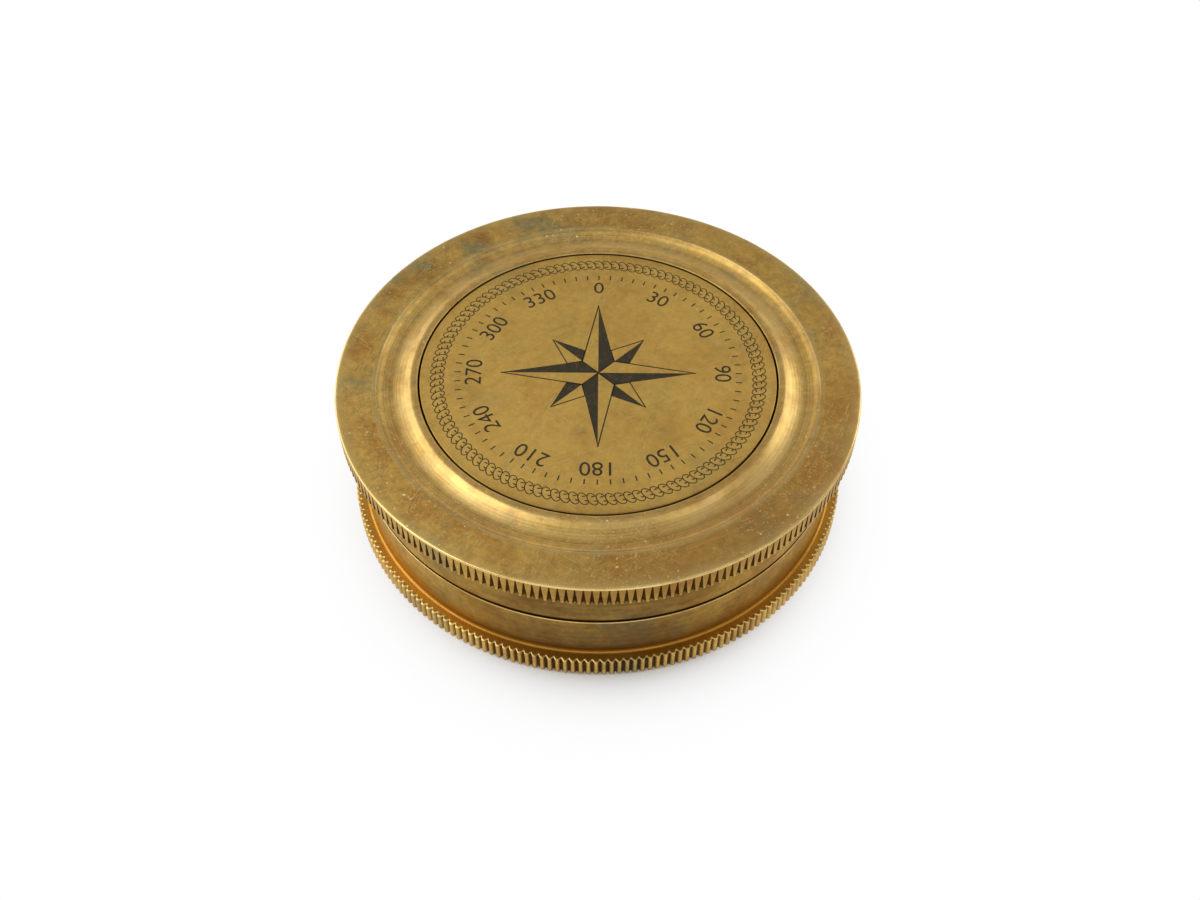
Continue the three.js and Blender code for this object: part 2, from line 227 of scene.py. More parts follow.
class InsideSizes(bpy.types.PropertyGroup):
    """Sizes of the inner pieces that the frame's boxes don't give."""

    letter_radius: length("Letter radius", "Middle radius of the dial's letters", 21.9)
    letter_height: length("Letter height", "Height of the dial's letters", 3.6)
    dial_tick_outer: length("Dial tick radius", "Outer radius of the dial's ticks", 26.6)
    dial_tick_height: length("Dial tick height", "Radial height of the dial's ticks", 1.6)
    dial_circle: length("Dial circle", "Radius of the circle round the letters", 24.6)
    slot_width: length("Slot width", "Width of a screw's slot", 0.45)
    slot_depth: length("Slot depth", "Depth of a screw's slot", 0.4)
    post_shank: length("Post shank", "Radius of the post", 1.2)
    post_shoulder: length("Post shoulder", "Height of the post's shoulder", 0.6)
    pin_point: length("Pin point", "Length of the pin's point", 1.2)
    slope_foot: length("Slope foot", "Width of the degree ring at its foot", 4)
    slope_crown: length("Slope crown", "Width of the degree ring under the glass", 2)
    slope_step: length("Slope step", "Height of the step at the foot of the slope", 1)
    slope_ticks: count("Slope ticks", "Ticks round the degree ring", 120)
    slope_line: length("Slope line", "Width of a tick of the degree ring", 0.22)
    split_width: length("Split ring width", "Radial width of the split ring", 1.45)
    split_opening: length("Split ring opening", "Half of the opening in the split ring", 3)
    hub: length("Hub", "Radius of the needle's hub", 1.8)
    socket_mouth: length("Socket mouth", "Radius of the jewel's socket at its mouth", 0.75)
    socket_depth: length("Socket depth", "Depth of the jewel's socket", 1)
    blade_bevel: length("Blade bevel", "Bevel of the needle's edges", 0.06)
    blade_hollow: share("Blade hollow", "Waist of the blade's sides for half its width", 0.36)


class EngravingSizes(bpy.types.PropertyGroup):
    """Sizes of what is engraved on the lid's disc."""

    chain_links: count("Chain links", "Links of the chain border", 117)
    chain_radius: length("Chain radius", "Middle radius of the chain border", 23.4)
    link_height: length("Link height", "Radial height of a link", 2.1)
    link_lean: share("Link lean", "Sideways lean of a link for its height", 0.34)
    line_width: length("Line width", "Width of an engraved line", 0.2)
    chain_line: length("Chain line", "Width of a line of the chain border", 0.15)
    tick_count: count("Ticks", "Degree ticks round the disc and the dial", 72)
    tick_outer: length("Tick radius", "Outer radius of the degree ticks", 20.9)
    tick_height: length("Tick height", "Radial height of a degree tick", 0.9)
    figure_radius: length("Figure radius", "Middle radius of the degree figures", 18)
    figure_height: length("Figure height", "Height of a degree figure", 2.5)
    rose_long: length("Long points", "Reach of the four long points of the wind rose", 14.2)
    rose_short: length("Short points", "Reach of the four short points of the wind rose", 9.6)
    rose_waist: length("Rose waist", "Radius where two long points meet", 3.3)


class BrassFinish(bpy.types.PropertyGroup):
    """Colours of the brass, of the tarnish on it, and of its painted shade and highlights."""

    gold: paint("Gold", "Clean turned brass", 0.63, 0.378, 0.08)
    sheet: paint("Sheet", "Rolled brass of the disc", 0.78, 0.485, 0.108)
    # The bright colour also paints highlights on the cove, the land and the edges
    bright: paint("Bright", "Brass rubbed bright on its edges", 0.86, 0.63, 0.235)
    brown: paint("Brown", "Brown tarnish", 0.42, 0.2, 0.035)
    green: paint("Green", "Grey-green tarnish", 0.33, 0.26, 0.1)
    # These two dark colours also paint shade: in corners, recesses and notches, under the rim and on the
    # walls
    patina: paint("Patina", "Dark finish left in corners", 0.055, 0.021, 0.002)
    haze: paint("Haze", "Dark finish left on the walls", 0.077, 0.041, 0.023)
    amber: paint("Amber", "Thin film of old lacquer on the foot's upper face", 0.8, 0.395, 0.05)
    graze: paint("Glancing", "Brass seen at a glancing angle", 0.9, 0.74, 0.46)
    nick: paint("Nick", "Pale metal in small nicks", 0.95, 0.77, 0.42)
    fill: paint("Fill", "Dark filling of the engraving", 0.034, 0.027, 0.013)


class StudioSettings(bpy.types.PropertyGroup):
    """Camera and light of the product view."""

    lens: share("Lens", "Focal length in millimetres", 38.56)
    sensor: share("Sensor", "Width of the sensor in millimetres", 36)
    elevation: angle("Elevation", "Height of the camera over the table", 49.626)
    roll: angle("Roll", "Turn of the camera about its own axis", 0.398)
    distance: length("Distance", "Distance from the camera to the plane of the lid's centre", 186.96)
    lid_right: length("Lid right", "Lid's centre right of the picture's middle", -0.334)
    lid_up: length("Lid up", "Lid's centre above the picture's middle", 11.266)
    ambient: share("Ambient", "Level of the even light all round", 0.26)


def bend(start, control, end, steps):
    """Points along a quadratic curve, both ends among them."""
    start, control, end = (np.array(point) for point in (start, control, end))
    shares = np.linspace(0, 1, steps + 1)
    return [(1 - t) ** 2 * start + 2 * t * (1 - t) * control + t * t * end for t in shares]


def curve(start, control, end, steps=CURVE_STEPS, **marks):
    """Corners along a quadratic curve, its first point left out."""
    return [Corner(*point, **marks) for point in bend(start, control, end, steps)[1:]]


def section(corners):
    """Rows of a half section, (radius, height, grime, wear, lines) each, with the corners rounded."""
    rows = []
    for index, corner in enumerate(corners):
        here = np.array((corner.radius, corner.height))
        points = [here]
        if corner.rounding:
            sides = [np.array(corners[(index + step) % len(corners)][:2]) - here for step in (-1, 1)]
            ends = [here + side / np.linalg.norm(side) * corner.rounding for side in sides]
            points = bend(ends[0], here, ends[1], ROUNDING_STEPS)
        marks = np.array((corner.grime, corner.wear, corner.lines))
        if rows:
            last = np.array(rows[-1])
            target = np.concatenate((points[0], marks))
            for step in range(1, corner.steps):
                rows.append(tuple(last + (target - last) * step / corner.steps))
        rows.extend((*point, *marks) for point in points)
    return rows


def even_columns(number):
    """Angles of evenly spread columns."""
    return np.arange(number) * 2 * math.pi / number


def strip(lower, upper):
    """Faces between two rings of vertex numbers, which may differ in number by a whole factor."""
    if len(lower) < len(upper):
        return [face[::-1] for face in strip(upper, lower)]
    if len(upper) == 1:
        return [(a, b, upper[0]) for a, b in zip(lower, lower[1:] + lower[:1])]
    factor = len(lower) // len(upper)
    around = lower + lower[:1]
    above = upper + upper[:1]
    return [(*around[i * factor:(i + 1) * factor + 1], above[i + 1], above[i]) for i in range(len(upper))]


def new_mesh(name, points, faces):
    """Mesh of points and faces."""
    mesh = bpy.data.meshes.new(name)
    mesh.from_pydata(points, [], faces)
    return mesh


def set_marks(mesh, name, values):
    """Stores one number for each vertex."""
    marks = mesh.attributes.new(name, "FLOAT", "POINT")
    marks.data.foreach_set("value", np.array(values, np.float32))


def turned_mesh(name, bands, closed=False):
    """Closed mesh of section rows turned about the axis; a band is its rows and its columns' angles."""
    points = []
    marks = []
    rings = []
    for rows, angles in bands:
        for radius, height, *mark in rows:
            first = len(points)
            turns = angles if radius > 0 else angles[:1]
            points.extend((radius * math.cos(a), radius * math.sin(a), height) for a in turns)
            marks.extend([mark] * len(turns))
            rings.append(list(range(first, len(points))))
    if closed:
        rings.append(rings[0])
    faces = [face for lower, upper in zip(rings, rings[1:]) for face in strip(lower, upper)]
    mesh = new_mesh(name, points, faces)
    for mark, values in zip(MARKS, zip(*marks)):
        set_marks(mesh, mark, values)
    return mesh


def face_outwards(mesh):
    """Turns the faces of closed shells outwards and marks their sharp edges."""
    work = bmesh.new()
    work.from_mesh(mesh)
    bmesh.ops.recalc_face_normals(work, faces=work.faces)
    work.to_mesh(mesh)
    work.free()
    mesh.shade_smooth()
    mesh.set_sharp_from_angle(angle=SHARP_ANGLE)


def new_object(context, name, data):
    """Object at the origin, with its place in its own data."""
    made = bpy.data.objects.new(name, data)
    context.scene.collection.objects.link(made)
    return made


def evaluated_mesh(context, holder):
    """Mesh of an object as its curves or modifiers make it."""
    graph = context.evaluated_depsgraph_get()
    shown = holder.evaluated_get(graph)
    return bpy.data.meshes.new_from_object(shown, preserve_all_data_layers=True, depsgraph=graph)


def dress(made, look):
    """Gives a finished piece its faces, material and body, and hides the CAD nodes that it stands for."""
    face_outwards(made.data)
    made.data.materials.clear()
    made.data.materials.append(look.material)
    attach(made, look.body)
    if look.nodes:
        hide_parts(*look.nodes)
    return made


def dressed(context, name, mesh, look):
    """Finished piece of a mesh."""
    return dress(new_object(context, name, mesh), look)


def turned_piece(context, name, corners, look, columns=FINE_COLUMNS, closed=False):
    """Finished piece turned from the corners of its half section."""
    mesh = turned_mesh(name, [(section(corners), even_columns(columns))], closed)
    return dressed(context, name, mesh, look)


def joined(name, meshes):
    """One mesh of several, with doubled points merged."""
    work = bmesh.new()
    for mesh in meshes:
        work.from_mesh(mesh)
        bpy.data.meshes.remove(mesh)
    bmesh.ops.remove_doubles(work, verts=work.verts, dist=SAME_POINT)
    whole = bpy.data.meshes.new(name)
    work.to_mesh(whole)
    work.free()
    return whole


def prism(outline, bottom, top):
    """Closed mesh of a flat outline between two levels."""
    size = len(outline)
    points = [(x, y, z) for z in (bottom, top) for x, y in outline]
    faces = [tuple(range(size)), tuple(range(size, 2 * size))]
    faces.extend((i, (i + 1) % size, size + (i + 1) % size, size + i) for i in range(size))
    return new_mesh("prism", points, faces)


def stroke(points, widths, bottom, top):
    """Closed mesh of a line of changing width along flat points."""
    path = np.array(points)
    along = np.gradient(path, axis=0)
    along /= np.linalg.norm(along, axis=1)[:, None]
    across = np.stack((-along[:, 1], along[:, 0]), axis=1) * np.array(widths)[:, None] / 2
    corners = [(x, y, z) for side in (path + across, path - across) for z in (bottom, top) for x, y in side]
    size = len(path)
    lines = [list(range(n * size, (n + 1) * size)) for n in (0, 1, 3, 2)]
    faces = [tuple(line[0] for line in lines), tuple(line[-1] for line in lines[::-1])]
    for one, other in zip(lines, lines[1:] + lines[:1]):
        faces.extend((one[i], one[i + 1], other[i + 1], other[i]) for i in range(size - 1))
    return new_mesh("stroke", corners, faces)


def ring_line(radius, width, bottom, top):
    """Closed mesh of a thin circle line."""
    inner = radius - width / 2
    outer = radius + width / 2
    rows = section([Corner(inner, bottom), Corner(outer, bottom), Corner(outer, top), Corner(inner, top)])
    return turned_mesh("ring_line", [(rows, even_columns(FINE_COLUMNS))], closed=True)


def lettering(context, marks, radius, height, bottom, top):
    """Closed mesh of short words, (word, angle) each, standing upright to the middle."""
    meshes = []
    for word, turn in marks:
        text = bpy.data.curves.new("word", "FONT")
        text.body = word
        text.size = height * FONT_SCALE
        text.align_x = "CENTER"
        text.align_y = "CENTER"
        text.extrude = (top - bottom) / 2
        text.resolution_u = 6
        holder = new_object(context, "word", text)
        mesh = evaluated_mesh(context, holder)
        place = Matrix.Rotation(turn, 4, "Z") @ Matrix.Translation((0, radius, (bottom + top) / 2))
        mesh.transform(place)
        meshes.append(mesh)
        bpy.data.objects.remove(holder)
        bpy.data.curves.remove(text)
    return joined("lettering", meshes)


class Nodes:
    """Adds nodes to one tree and links them."""

    def __init__(self, tree):
        self.tree = tree

    def feed(self, socket, value):
        """Links a socket, or sets the input's own value."""
        if isinstance(value, bpy.types.NodeSocket):
            self.tree.links.new(value, socket)
        else:
            socket.default_value = value

    def fill(self, node, **inputs):
        """Feeds a node's inputs by name, with underscores for the spaces."""
        for name, value in inputs.items():
            self.feed(node.inputs[name.replace("_", " ")], value)
        return node

    def add(self, kind, settings=None, **inputs):
        """New node with its settings and inputs."""
        node = self.tree.nodes.new(kind)
        for name, value in (settings or {}).items():
            setattr(node, name, value)
        return self.fill(node, **inputs)

    def row(self, node, *values):
        """Feeds a node's inputs in their order, and hands back its outputs."""
        for socket, value in zip(node.inputs, values):
            self.feed(socket, value)
        return node.outputs

    def math(self, operation, *values, clamp=False):
        """Result of a Math node."""
        node = self.add("ShaderNodeMath", {"operation": operation, "use_clamp": clamp})
        return self.row(node, *values)[0]

    def times(self, first, *others):
        """Product of numbers."""
        for other in others:
            first = self.math("MULTIPLY", first, other)
        return first

    def most(self, first, *others):
        """Largest of numbers."""
        for other in others:
            first = self.math("MAXIMUM", first, other)
        return first

    def more(self, base, value, factor):
        """Base plus a value times a factor."""
        return self.math("MULTIPLY_ADD", value, factor, base)

    def less(self, one, other):
        """One number less another."""
        return self.math("SUBTRACT", one, other)

    def vector_math(self, operation, *values):
        """Vector result of a Vector Math node, or its number where it has only that."""
        outputs = self.row(self.add("ShaderNodeVectorMath", {"operation": operation}), *values)
        return outputs["Value"] if operation in ("LENGTH", "DOT_PRODUCT") else outputs[0]

    def scaled(self, vector, factor):
        """Vector or colour times a number."""
        node = self.add("ShaderNodeVectorMath", {"operation": "SCALE"}, Vector=vector, Scale=factor)
        return node.outputs[0]

    def span(self, value, low, high, to_low=0.0, to_high=1.0, smooth=True):
        """Value brought from one range to another and held inside it."""
        kind = "SMOOTHSTEP" if smooth else "LINEAR"
        node = self.add("ShaderNodeMapRange", {"interpolation_type": kind})
        return self.row(node, value, low, high, to_low, to_high)[0]

    def blend(self, factor, one, other):
        """Colour mixed by a factor."""
        node = self.add("ShaderNodeMix", {"data_type": "RGBA", "clamp_factor": True})
        for number, value in ((0, factor), (6, one), (7, other)):
            self.feed(node.inputs[number], value)
        return node.outputs[2]

    def mix_shaders(self, factor, one, other):
        """Two shaders mixed by a factor."""
        return self.row(self.add("ShaderNodeMixShader"), factor, one, other)[0]

    def noise(self, vector, scale, detail=3.0, roughness=0.55):
        """Number from a Noise texture."""
        node = self.add(
            "ShaderNodeTexNoise", Vector=vector, Scale=scale, Detail=detail, Roughness=roughness
        )
        return node.outputs[0]

    def split(self, vector):
        """X, Y and Z of a vector."""
        return self.add("ShaderNodeSeparateXYZ", Vector=vector).outputs

    def combine(self, x, y, z):
        """Vector from three numbers."""
        return self.add("ShaderNodeCombineXYZ", X=x, Y=y, Z=z).outputs[0]

    def off_axis(self, vector):
        """Distance of a place from the axis."""
        return self.vector_math("LENGTH", self.vector_math("MULTIPLY", vector, (1.0, 1.0, 0.0)))

    def place(self):
        """Object coordinates."""
        return self.add("ShaderNodeTexCoord").outputs["Object"]

    def mark(self, name):
        """Number that the vertices carry under a name."""
        return self.add("ShaderNodeAttribute", {"attribute_name": name}).outputs["Fac"]

    def bump(self, height, distance):
        """Normal of a bumped surface."""
        return self.add("ShaderNodeBump", Strength=1.0, Distance=distance, Height=height).outputs[0]

    def group(self, tree, **inputs):
        """Outputs of a shader group with its own values."""
        return self.fill(self.add("ShaderNodeGroup", {"node_tree": tree}), **inputs).outputs

    def finish(self, geometry, material, result):
        """Hands a geometry out as one mesh with its material."""
        whole = self.add("GeometryNodeRealizeInstances", Geometry=geometry)
        finished = self.add("GeometryNodeSetMaterial", Geometry=whole.outputs[0], Material=material)
        self.feed(result["Geometry"], finished.outputs[0])


def node_group(name, kind, inputs, outputs):
    """Makes a function that wires a node group into one that hands the group back, made the first time."""

    def keep(wire):
        def group():
            if name in bpy.data.node_groups:
                return bpy.data.node_groups[name]
            tree = bpy.data.node_groups.new(name, kind)
            for label, given in inputs.items():
                typed = isinstance(given, str)
                socket_type = "NodeSocket" + (given if typed else SOCKETS[type(given)])
                socket = tree.interface.new_socket(label, in_out="INPUT", socket_type=socket_type)
                if not typed:
                    socket.default_value = given
            for label, given in outputs.items():
                tree.interface.new_socket(label, in_out="OUTPUT", socket_type="NodeSocket" + given)
            nodes = Nodes(tree)
            wire(nodes, nodes.add("NodeGroupInput").outputs, nodes.add("NodeGroupOutput").inputs)
            return tree

        return group

    return keep


@node_group(
    "Knurl",
    "GeometryNodeTree",
    {
        "Geometry": "Geometry",
        "Teeth": 200,
        "Rim Radius": 0.038,
        "Bottom": 0.0,
        "Top": 0.003,
        "Depth Bottom": 0.0006,
        "Depth Top": 0.0006,
        "Notch Angle": 1.0,
        "Least Width": 0.00002,
        "Edge Rounding": 0.00006,
        "Dirt Core": 0.4,
        "Dirt Edge": 0.5,
        "Dirt": 1.0,
    },
    {"Geometry": "Geometry"},
)
def knurl_tree(nodes, given, result):
    """Cuts V notches into the columns of a turned rim and paints shade into them; a notch is a wedge where
    its two depths differ.
    """
    tooth, tooth_angle, cut, grime = (
        nodes.add("GeometryNodeInputNamedAttribute", {"data_type": "FLOAT"}, Name=mark).outputs[0]
        for mark in ("tooth", "tooth_angle", "cut", "grime")
    )
    position = nodes.add("GeometryNodeInputPosition").outputs[0]
    z = nodes.split(position)["Z"]
    depth = nodes.span(
        z, given["Bottom"], given["Top"], given["Depth Bottom"], given["Depth Top"], smooth=False
    )
    slope = nodes.math("TANGENT", nodes.times(given["Notch Angle"], 0.5))
    mouth = nodes.most(nodes.times(depth, slope), given["Least Width"])
    pitch = nodes.math("DIVIDE", nodes.times(given["Rim Radius"], 2 * math.pi), given["Teeth"])
    crest = nodes.less(nodes.times(pitch, 0.5), mouth)
    place = nodes.math("ABSOLUTE", tooth)
    in_notch = nodes.times(nodes.math("MINIMUM", place, 0.5), 2.0)
    on_crest = nodes.times(nodes.most(nodes.less(place, 0.5), 0.0), 2.0)
    aside = nodes.math("ADD", nodes.times(in_notch, mouth), nodes.times(on_crest, crest))
    turn = nodes.math("DIVIDE", nodes.times(aside, nodes.math("SIGN", tooth)), given["Rim Radius"])
    heading = nodes.math("ADD", tooth_angle, turn)
    wall = nodes.times(depth, nodes.less(1.0, nodes.times(place, 2.0)))
    sunk = nodes.math("SMOOTH_MAX", wall, 0.0, given["Edge Rounding"])
    radius = nodes.less(nodes.off_axis(position), sunk)
    east = nodes.times(radius, nodes.math("COSINE", heading))
    north = nodes.times(radius, nodes.math("SINE", heading))
    shaped = nodes.add(
        "GeometryNodeSetPosition",
        Geometry=given["Geometry"],
        Selection=cut,
        Position=nodes.combine(east, north, z),
    )
    # Painted shade in the notches, dark across their cores and fading towards their edges
    notch_shade = nodes.span(place, given["Dirt Core"], given["Dirt Edge"], given["Dirt"], 0.0)
    marked = nodes.add(
        "GeometryNodeStoreNamedAttribute",
        {"data_type": "FLOAT", "domain": "POINT"},
        Geometry=shaped.outputs[0],
        Name="grime",
        Value=nodes.most(grime, nodes.times(notch_shade, cut)),
    )
    nodes.feed(result["Geometry"], marked.outputs[0])


@node_group(
    "Screw Thread",
    "GeometryNodeTree",
    {
        "Geometry": "Geometry",
        "Turns": 3.5,
        "Radius": 0.034,
        "Start Level": 0.0,
        "Height": 0.004,
        "Ridge": 0.0003,
        "Steps": 180,
        "Material": "Material",
    },
    {"Geometry": "Geometry"},
)
def thread_tree(nodes, given, result):
    """Ridge of a screw thread: a sharp profile along a helix, run out at both ends."""
    helix = nodes.add(
        "GeometryNodeCurveSpiral",
        Resolution=given["Steps"],
        Rotations=given["Turns"],
        Start_Radius=given["Radius"],
        End_Radius=given["Radius"],
        Height=given["Height"],
        Reverse=False,
    )
    lift = nodes.combine(0.0, 0.0, given["Start Level"])
    raised = nodes.add("GeometryNodeTransform", Geometry=helix.outputs[0], Translation=lift)
    along = nodes.add("GeometryNodeSplineParameter").outputs["Factor"]
    rise = nodes.span(along, 0.0, 0.06, 0.05, 1.0)
    fall = nodes.span(along, 0.94, 1.0, 1.0, 0.05)
    circle = nodes.add("GeometryNodeCurvePrimitiveCircle", {"mode": "RADIUS"}, Resolution=4)
    profile = nodes.fill(circle, Radius=given["Ridge"])
    ridge = nodes.add(
        "GeometryNodeCurveToMesh",
        Curve=raised.outputs[0],
        Profile_Curve=profile.outputs[0],
        Scale=nodes.times(rise, fall),
        Fill_Caps=True,
    )
    nodes.finish(ridge.outputs[0], given["Material"], result)


@node_group(
    "Ring of Copies",
    "GeometryNodeTree",
    {"Geometry": "Geometry", "Copies": 4, "First Angle": 0.0, "Material": "Material"},
    {"Geometry": "Geometry"},
)
def ring_tree(nodes, given, result):
    """Copies of a motif turned about the axis in even steps."""
    points = nodes.add("GeometryNodePoints", Count=given["Copies"])
    index = nodes.add("GeometryNodeInputIndex").outputs[0]
    step = nodes.math("DIVIDE", 2 * math.pi, given["Copies"])
    turn = nodes.more(given["First Angle"], index, step)
    facing = nodes.add("FunctionNodeEulerToRotation", Euler=nodes.combine(0.0, 0.0, turn))
    copies = nodes.add(
        "GeometryNodeInstanceOnPoints",
        Points=points.outputs[0],
        Instance=given["Geometry"],
        Rotation=facing.outputs[0],
    )
    nodes.finish(copies.outputs[0], given["Material"], result)


def run_nodes(context, made, tree, **inputs):
    """Runs a geometry tree on an object with its inputs set, and keeps the result as a plain mesh."""
    modifier = made.modifiers.new(tree.name, "NODES")
    modifier.node_group = tree
    for item in tree.interface.items_tree:
        key = item.name.replace(" ", "_")
        if item.in_out == "INPUT" and key in inputs:
            modifier[item.identifier] = inputs[key]
    mesh = evaluated_mesh(context, made)
    made.modifiers.remove(modifier)
    old = made.data
    made.data = mesh
    bpy.data.meshes.remove(old)
    mesh.name = made.name
    return made


def ring_of(context, name, motif, copies, look, first_angle=0.0):
    """Finished piece of a motif copied round the axis."""
    made = new_object(context, name, motif)
    run_nodes(context, made, ring_tree(), Copies=copies, First_Angle=first_angle, Material=look.material)
    return dress(made, look)


def thread_piece(context, name, look, radius, ridge):
    """Finished ridge of a screw thread over the height of the neck."""
    case = context.scene.compass_case
    shoulder = case.foot_height + case.wall_height
    made = new_object(context, name, bpy.data.meshes.new(name))
    run_nodes(
        context,
        made,
        thread_tree(),
        Turns=case.thread_turns,
        Radius=radius,
        Start_Level=shoulder + THREAD_START,
        Height=NECK_TOP - shoulder - THREAD_PLAIN,
        Ridge=ridge,
        Material=look.material,
    )
    return dress(made, look._replace(nodes=()))


def knurled_object(context, name, below, rim, cuts, above, teeth, **inputs):
    """Object turned from three bands of rows, with the rows of its rim cut by the knurl tree."""
    pitch = 2 * math.pi / teeth
    crests = np.arange(teeth) * pitch
    centres = np.repeat(crests + pitch / 2, len(TOOTH_COLUMNS))
    places = np.tile(TOOTH_COLUMNS, teeth)
    fine = centres + places * pitch / 2
    mesh = turned_mesh(name, [(below, crests), (rim, fine), (above, crests)])
    plain = [sum(teeth if row[0] > 0 else 1 for row in rows) for rows in (below, above)]
    marks = (
        ("tooth", np.tile(places, len(rim)), 1.0),
        ("tooth_angle", np.tile(centres, len(rim)), 0.0),
        ("cut", np.repeat(np.array(cuts, float), len(fine)), 0.0),
    )
    for mark, values, elsewhere in marks:
        set_marks(mesh, mark, np.pad(values, plain, constant_values=elsewhere))
    made = new_object(context, name, mesh)
    return run_nodes(context, made, knurl_tree(), Teeth=teeth, **inputs)


@node_group(
    "Lathe Lines",
    "ShaderNodeTree",
    {"Vector": "Vector", "Lines per Metre": 2800.0},
    {"Height": "Float", "Tone": "Float", "Groove": "Float"},
)
def lathe_lines_group(nodes, given, result):
    """Fine turned lines round the axis, as a height, a tone and sparse grooves."""
    place = given["Vector"]
    across = nodes.combine(nodes.off_axis(place), nodes.split(place)["Z"], 0.0)
    spacing = given["Lines per Metre"]
    fine = nodes.noise(across, spacing, 1.0, 0.5)
    broad = nodes.noise(across, nodes.times(spacing, 0.3), 2.0, 0.6)
    sparse = nodes.noise(across, nodes.times(spacing, 0.8), 1.0, 0.5)
    fade = nodes.span(nodes.noise(place, 110.0, 2.0), 0.35, 0.65, 0.45, 1.0)
    height = nodes.more(fine, broad, 1.2)
    nodes.feed(result["Height"], nodes.times(height, fade))
    nodes.feed(result["Tone"], nodes.span(height, 0.75, 1.45, smooth=False))
    nodes.feed(result["Groove"], nodes.times(nodes.span(sparse, 0.6, 0.68), fade))


@node_group(
    "Tarnish",
    "ShaderNodeTree",
    {"Vector": "Vector", "Clean": "Color", "Brown": "Color", "Green": "Color", "Amount": 0.5, "Mottle": 0.12},
    {"Color": "Color", "Mask": "Float"},
)
def tarnish_group(nodes, given, result):
    """Clean colour clouded by brown and grey-green tarnish, with a fine mottle."""
    place = given["Vector"]
    warm = nodes.noise(nodes.vector_math("ADD", place, (0.3, 0.1, 0.2)), 130.0, 5.0, 0.6)
    brown = nodes.span(warm, 0.44, 0.64)
    green = nodes.span(nodes.noise(place, 105.0, 6.0, 0.6), 0.53, 0.66)
    browned = nodes.blend(nodes.times(brown, given["Amount"]), given["Clean"], given["Brown"])
    clouded = nodes.blend(nodes.times(green, given["Amount"]), browned, given["Green"])
    grain = nodes.less(nodes.noise(place, 900.0, 4.0, 0.7), 0.5)
    tone = nodes.more(1.0, grain, nodes.times(given["Mottle"], 4.0))
    nodes.feed(result["Color"], nodes.scaled(clouded, tone))
    nodes.feed(result["Mask"], nodes.most(brown, green))


@node_group(
    "Specks",
    "ShaderNodeTree",
    {"Vector": "Vector", "Scale": 1300.0, "Share": 0.05, "Size": 0.13},
    {"Mask": "Float"},
)
def specks_group(nodes, given, result):
    """Small bright nicks strewn over a surface."""
    place = given["Vector"]
    ragged = nodes.add("ShaderNodeTexNoise", Vector=place, Scale=4200.0, Detail=2.0)
    shift = nodes.vector_math("SUBTRACT", ragged.outputs["Color"], (0.5, 0.5, 0.5))
    moved = nodes.vector_math("ADD", place, nodes.scaled(shift, 0.0004))
    cells = nodes.add("ShaderNodeTexVoronoi", Vector=moved, Scale=given["Scale"]).outputs
    pick, strength, _ = nodes.split(cells["Color"])
    chosen = nodes.times(nodes.math("LESS_THAN", pick, given["Share"]), nodes.more(0.5, strength, 0.5))
    near = nodes.span(cells["Distance"], nodes.times(given["Size"], 0.4), given["Size"], 1.0, 0.0)
    patch = nodes.span(nodes.noise(place, 70.0, 2.0), 0.4, 0.56)
    nodes.feed(result["Mask"], nodes.times(chosen, near, patch))


@node_group(
    "Scratches",
    "ShaderNodeTree",
    {"Vector": "Vector", "Width Scale": 4600.0, "Share": 0.5},
    {"Light": "Float", "Dark": "Float"},
)
def scratches_group(nodes, given, result):
    """Thin scratches in three directions, some light and some dark."""
    light = 0.0
    dark = 0.0
    for number, turn in enumerate(SCRATCH_TURNS):
        turned = nodes.add(
            "ShaderNodeMapping",
            {"vector_type": "TEXTURE"},
            Vector=given["Vector"],
            Rotation=(0.0, 0.0, math.radians(turn)),
            Location=(0.013 * number, 0.021 * number, 0.0),
            Scale=(8.0, 1.0, 1.0),
        ).outputs[0]
        line = nodes.noise(turned, given["Width Scale"], 1.0)
        there = nodes.span(nodes.noise(turned, 380.0, 2.0), given["Share"], 0.62)
        light = nodes.math("ADD", light, nodes.times(nodes.span(line, 0.6, 0.7), there))
        dark = nodes.math("ADD", dark, nodes.times(nodes.span(line, 0.3, 0.4, 1.0, 0.0), there))
    nodes.feed(result["Light"], nodes.math("MINIMUM", light, 1.0))
    nodes.feed(result["Dark"], nodes.math("MINIMUM", dark, 1.0))


def material(name):
    """Makes a function that wires a material into one that hands the material back, made the first time.

    The wiring function gets a Principled shader, and may return another shader for the surface."""

    def keep(wire):
        def finished(context):
            if name in bpy.data.materials:
                return bpy.data.materials[name]
            made = bpy.data.materials.new(name)
            made.use_nodes = True
            made.node_tree.nodes.clear()
            nodes = Nodes(made.node_tree)
            shader = nodes.add("ShaderNodeBsdfPrincipled")
            surface = wire(context, nodes, shader) or shader.outputs[0]
            nodes.add("ShaderNodeOutputMaterial", Surface=surface)
            return made

        return finished

    return keep


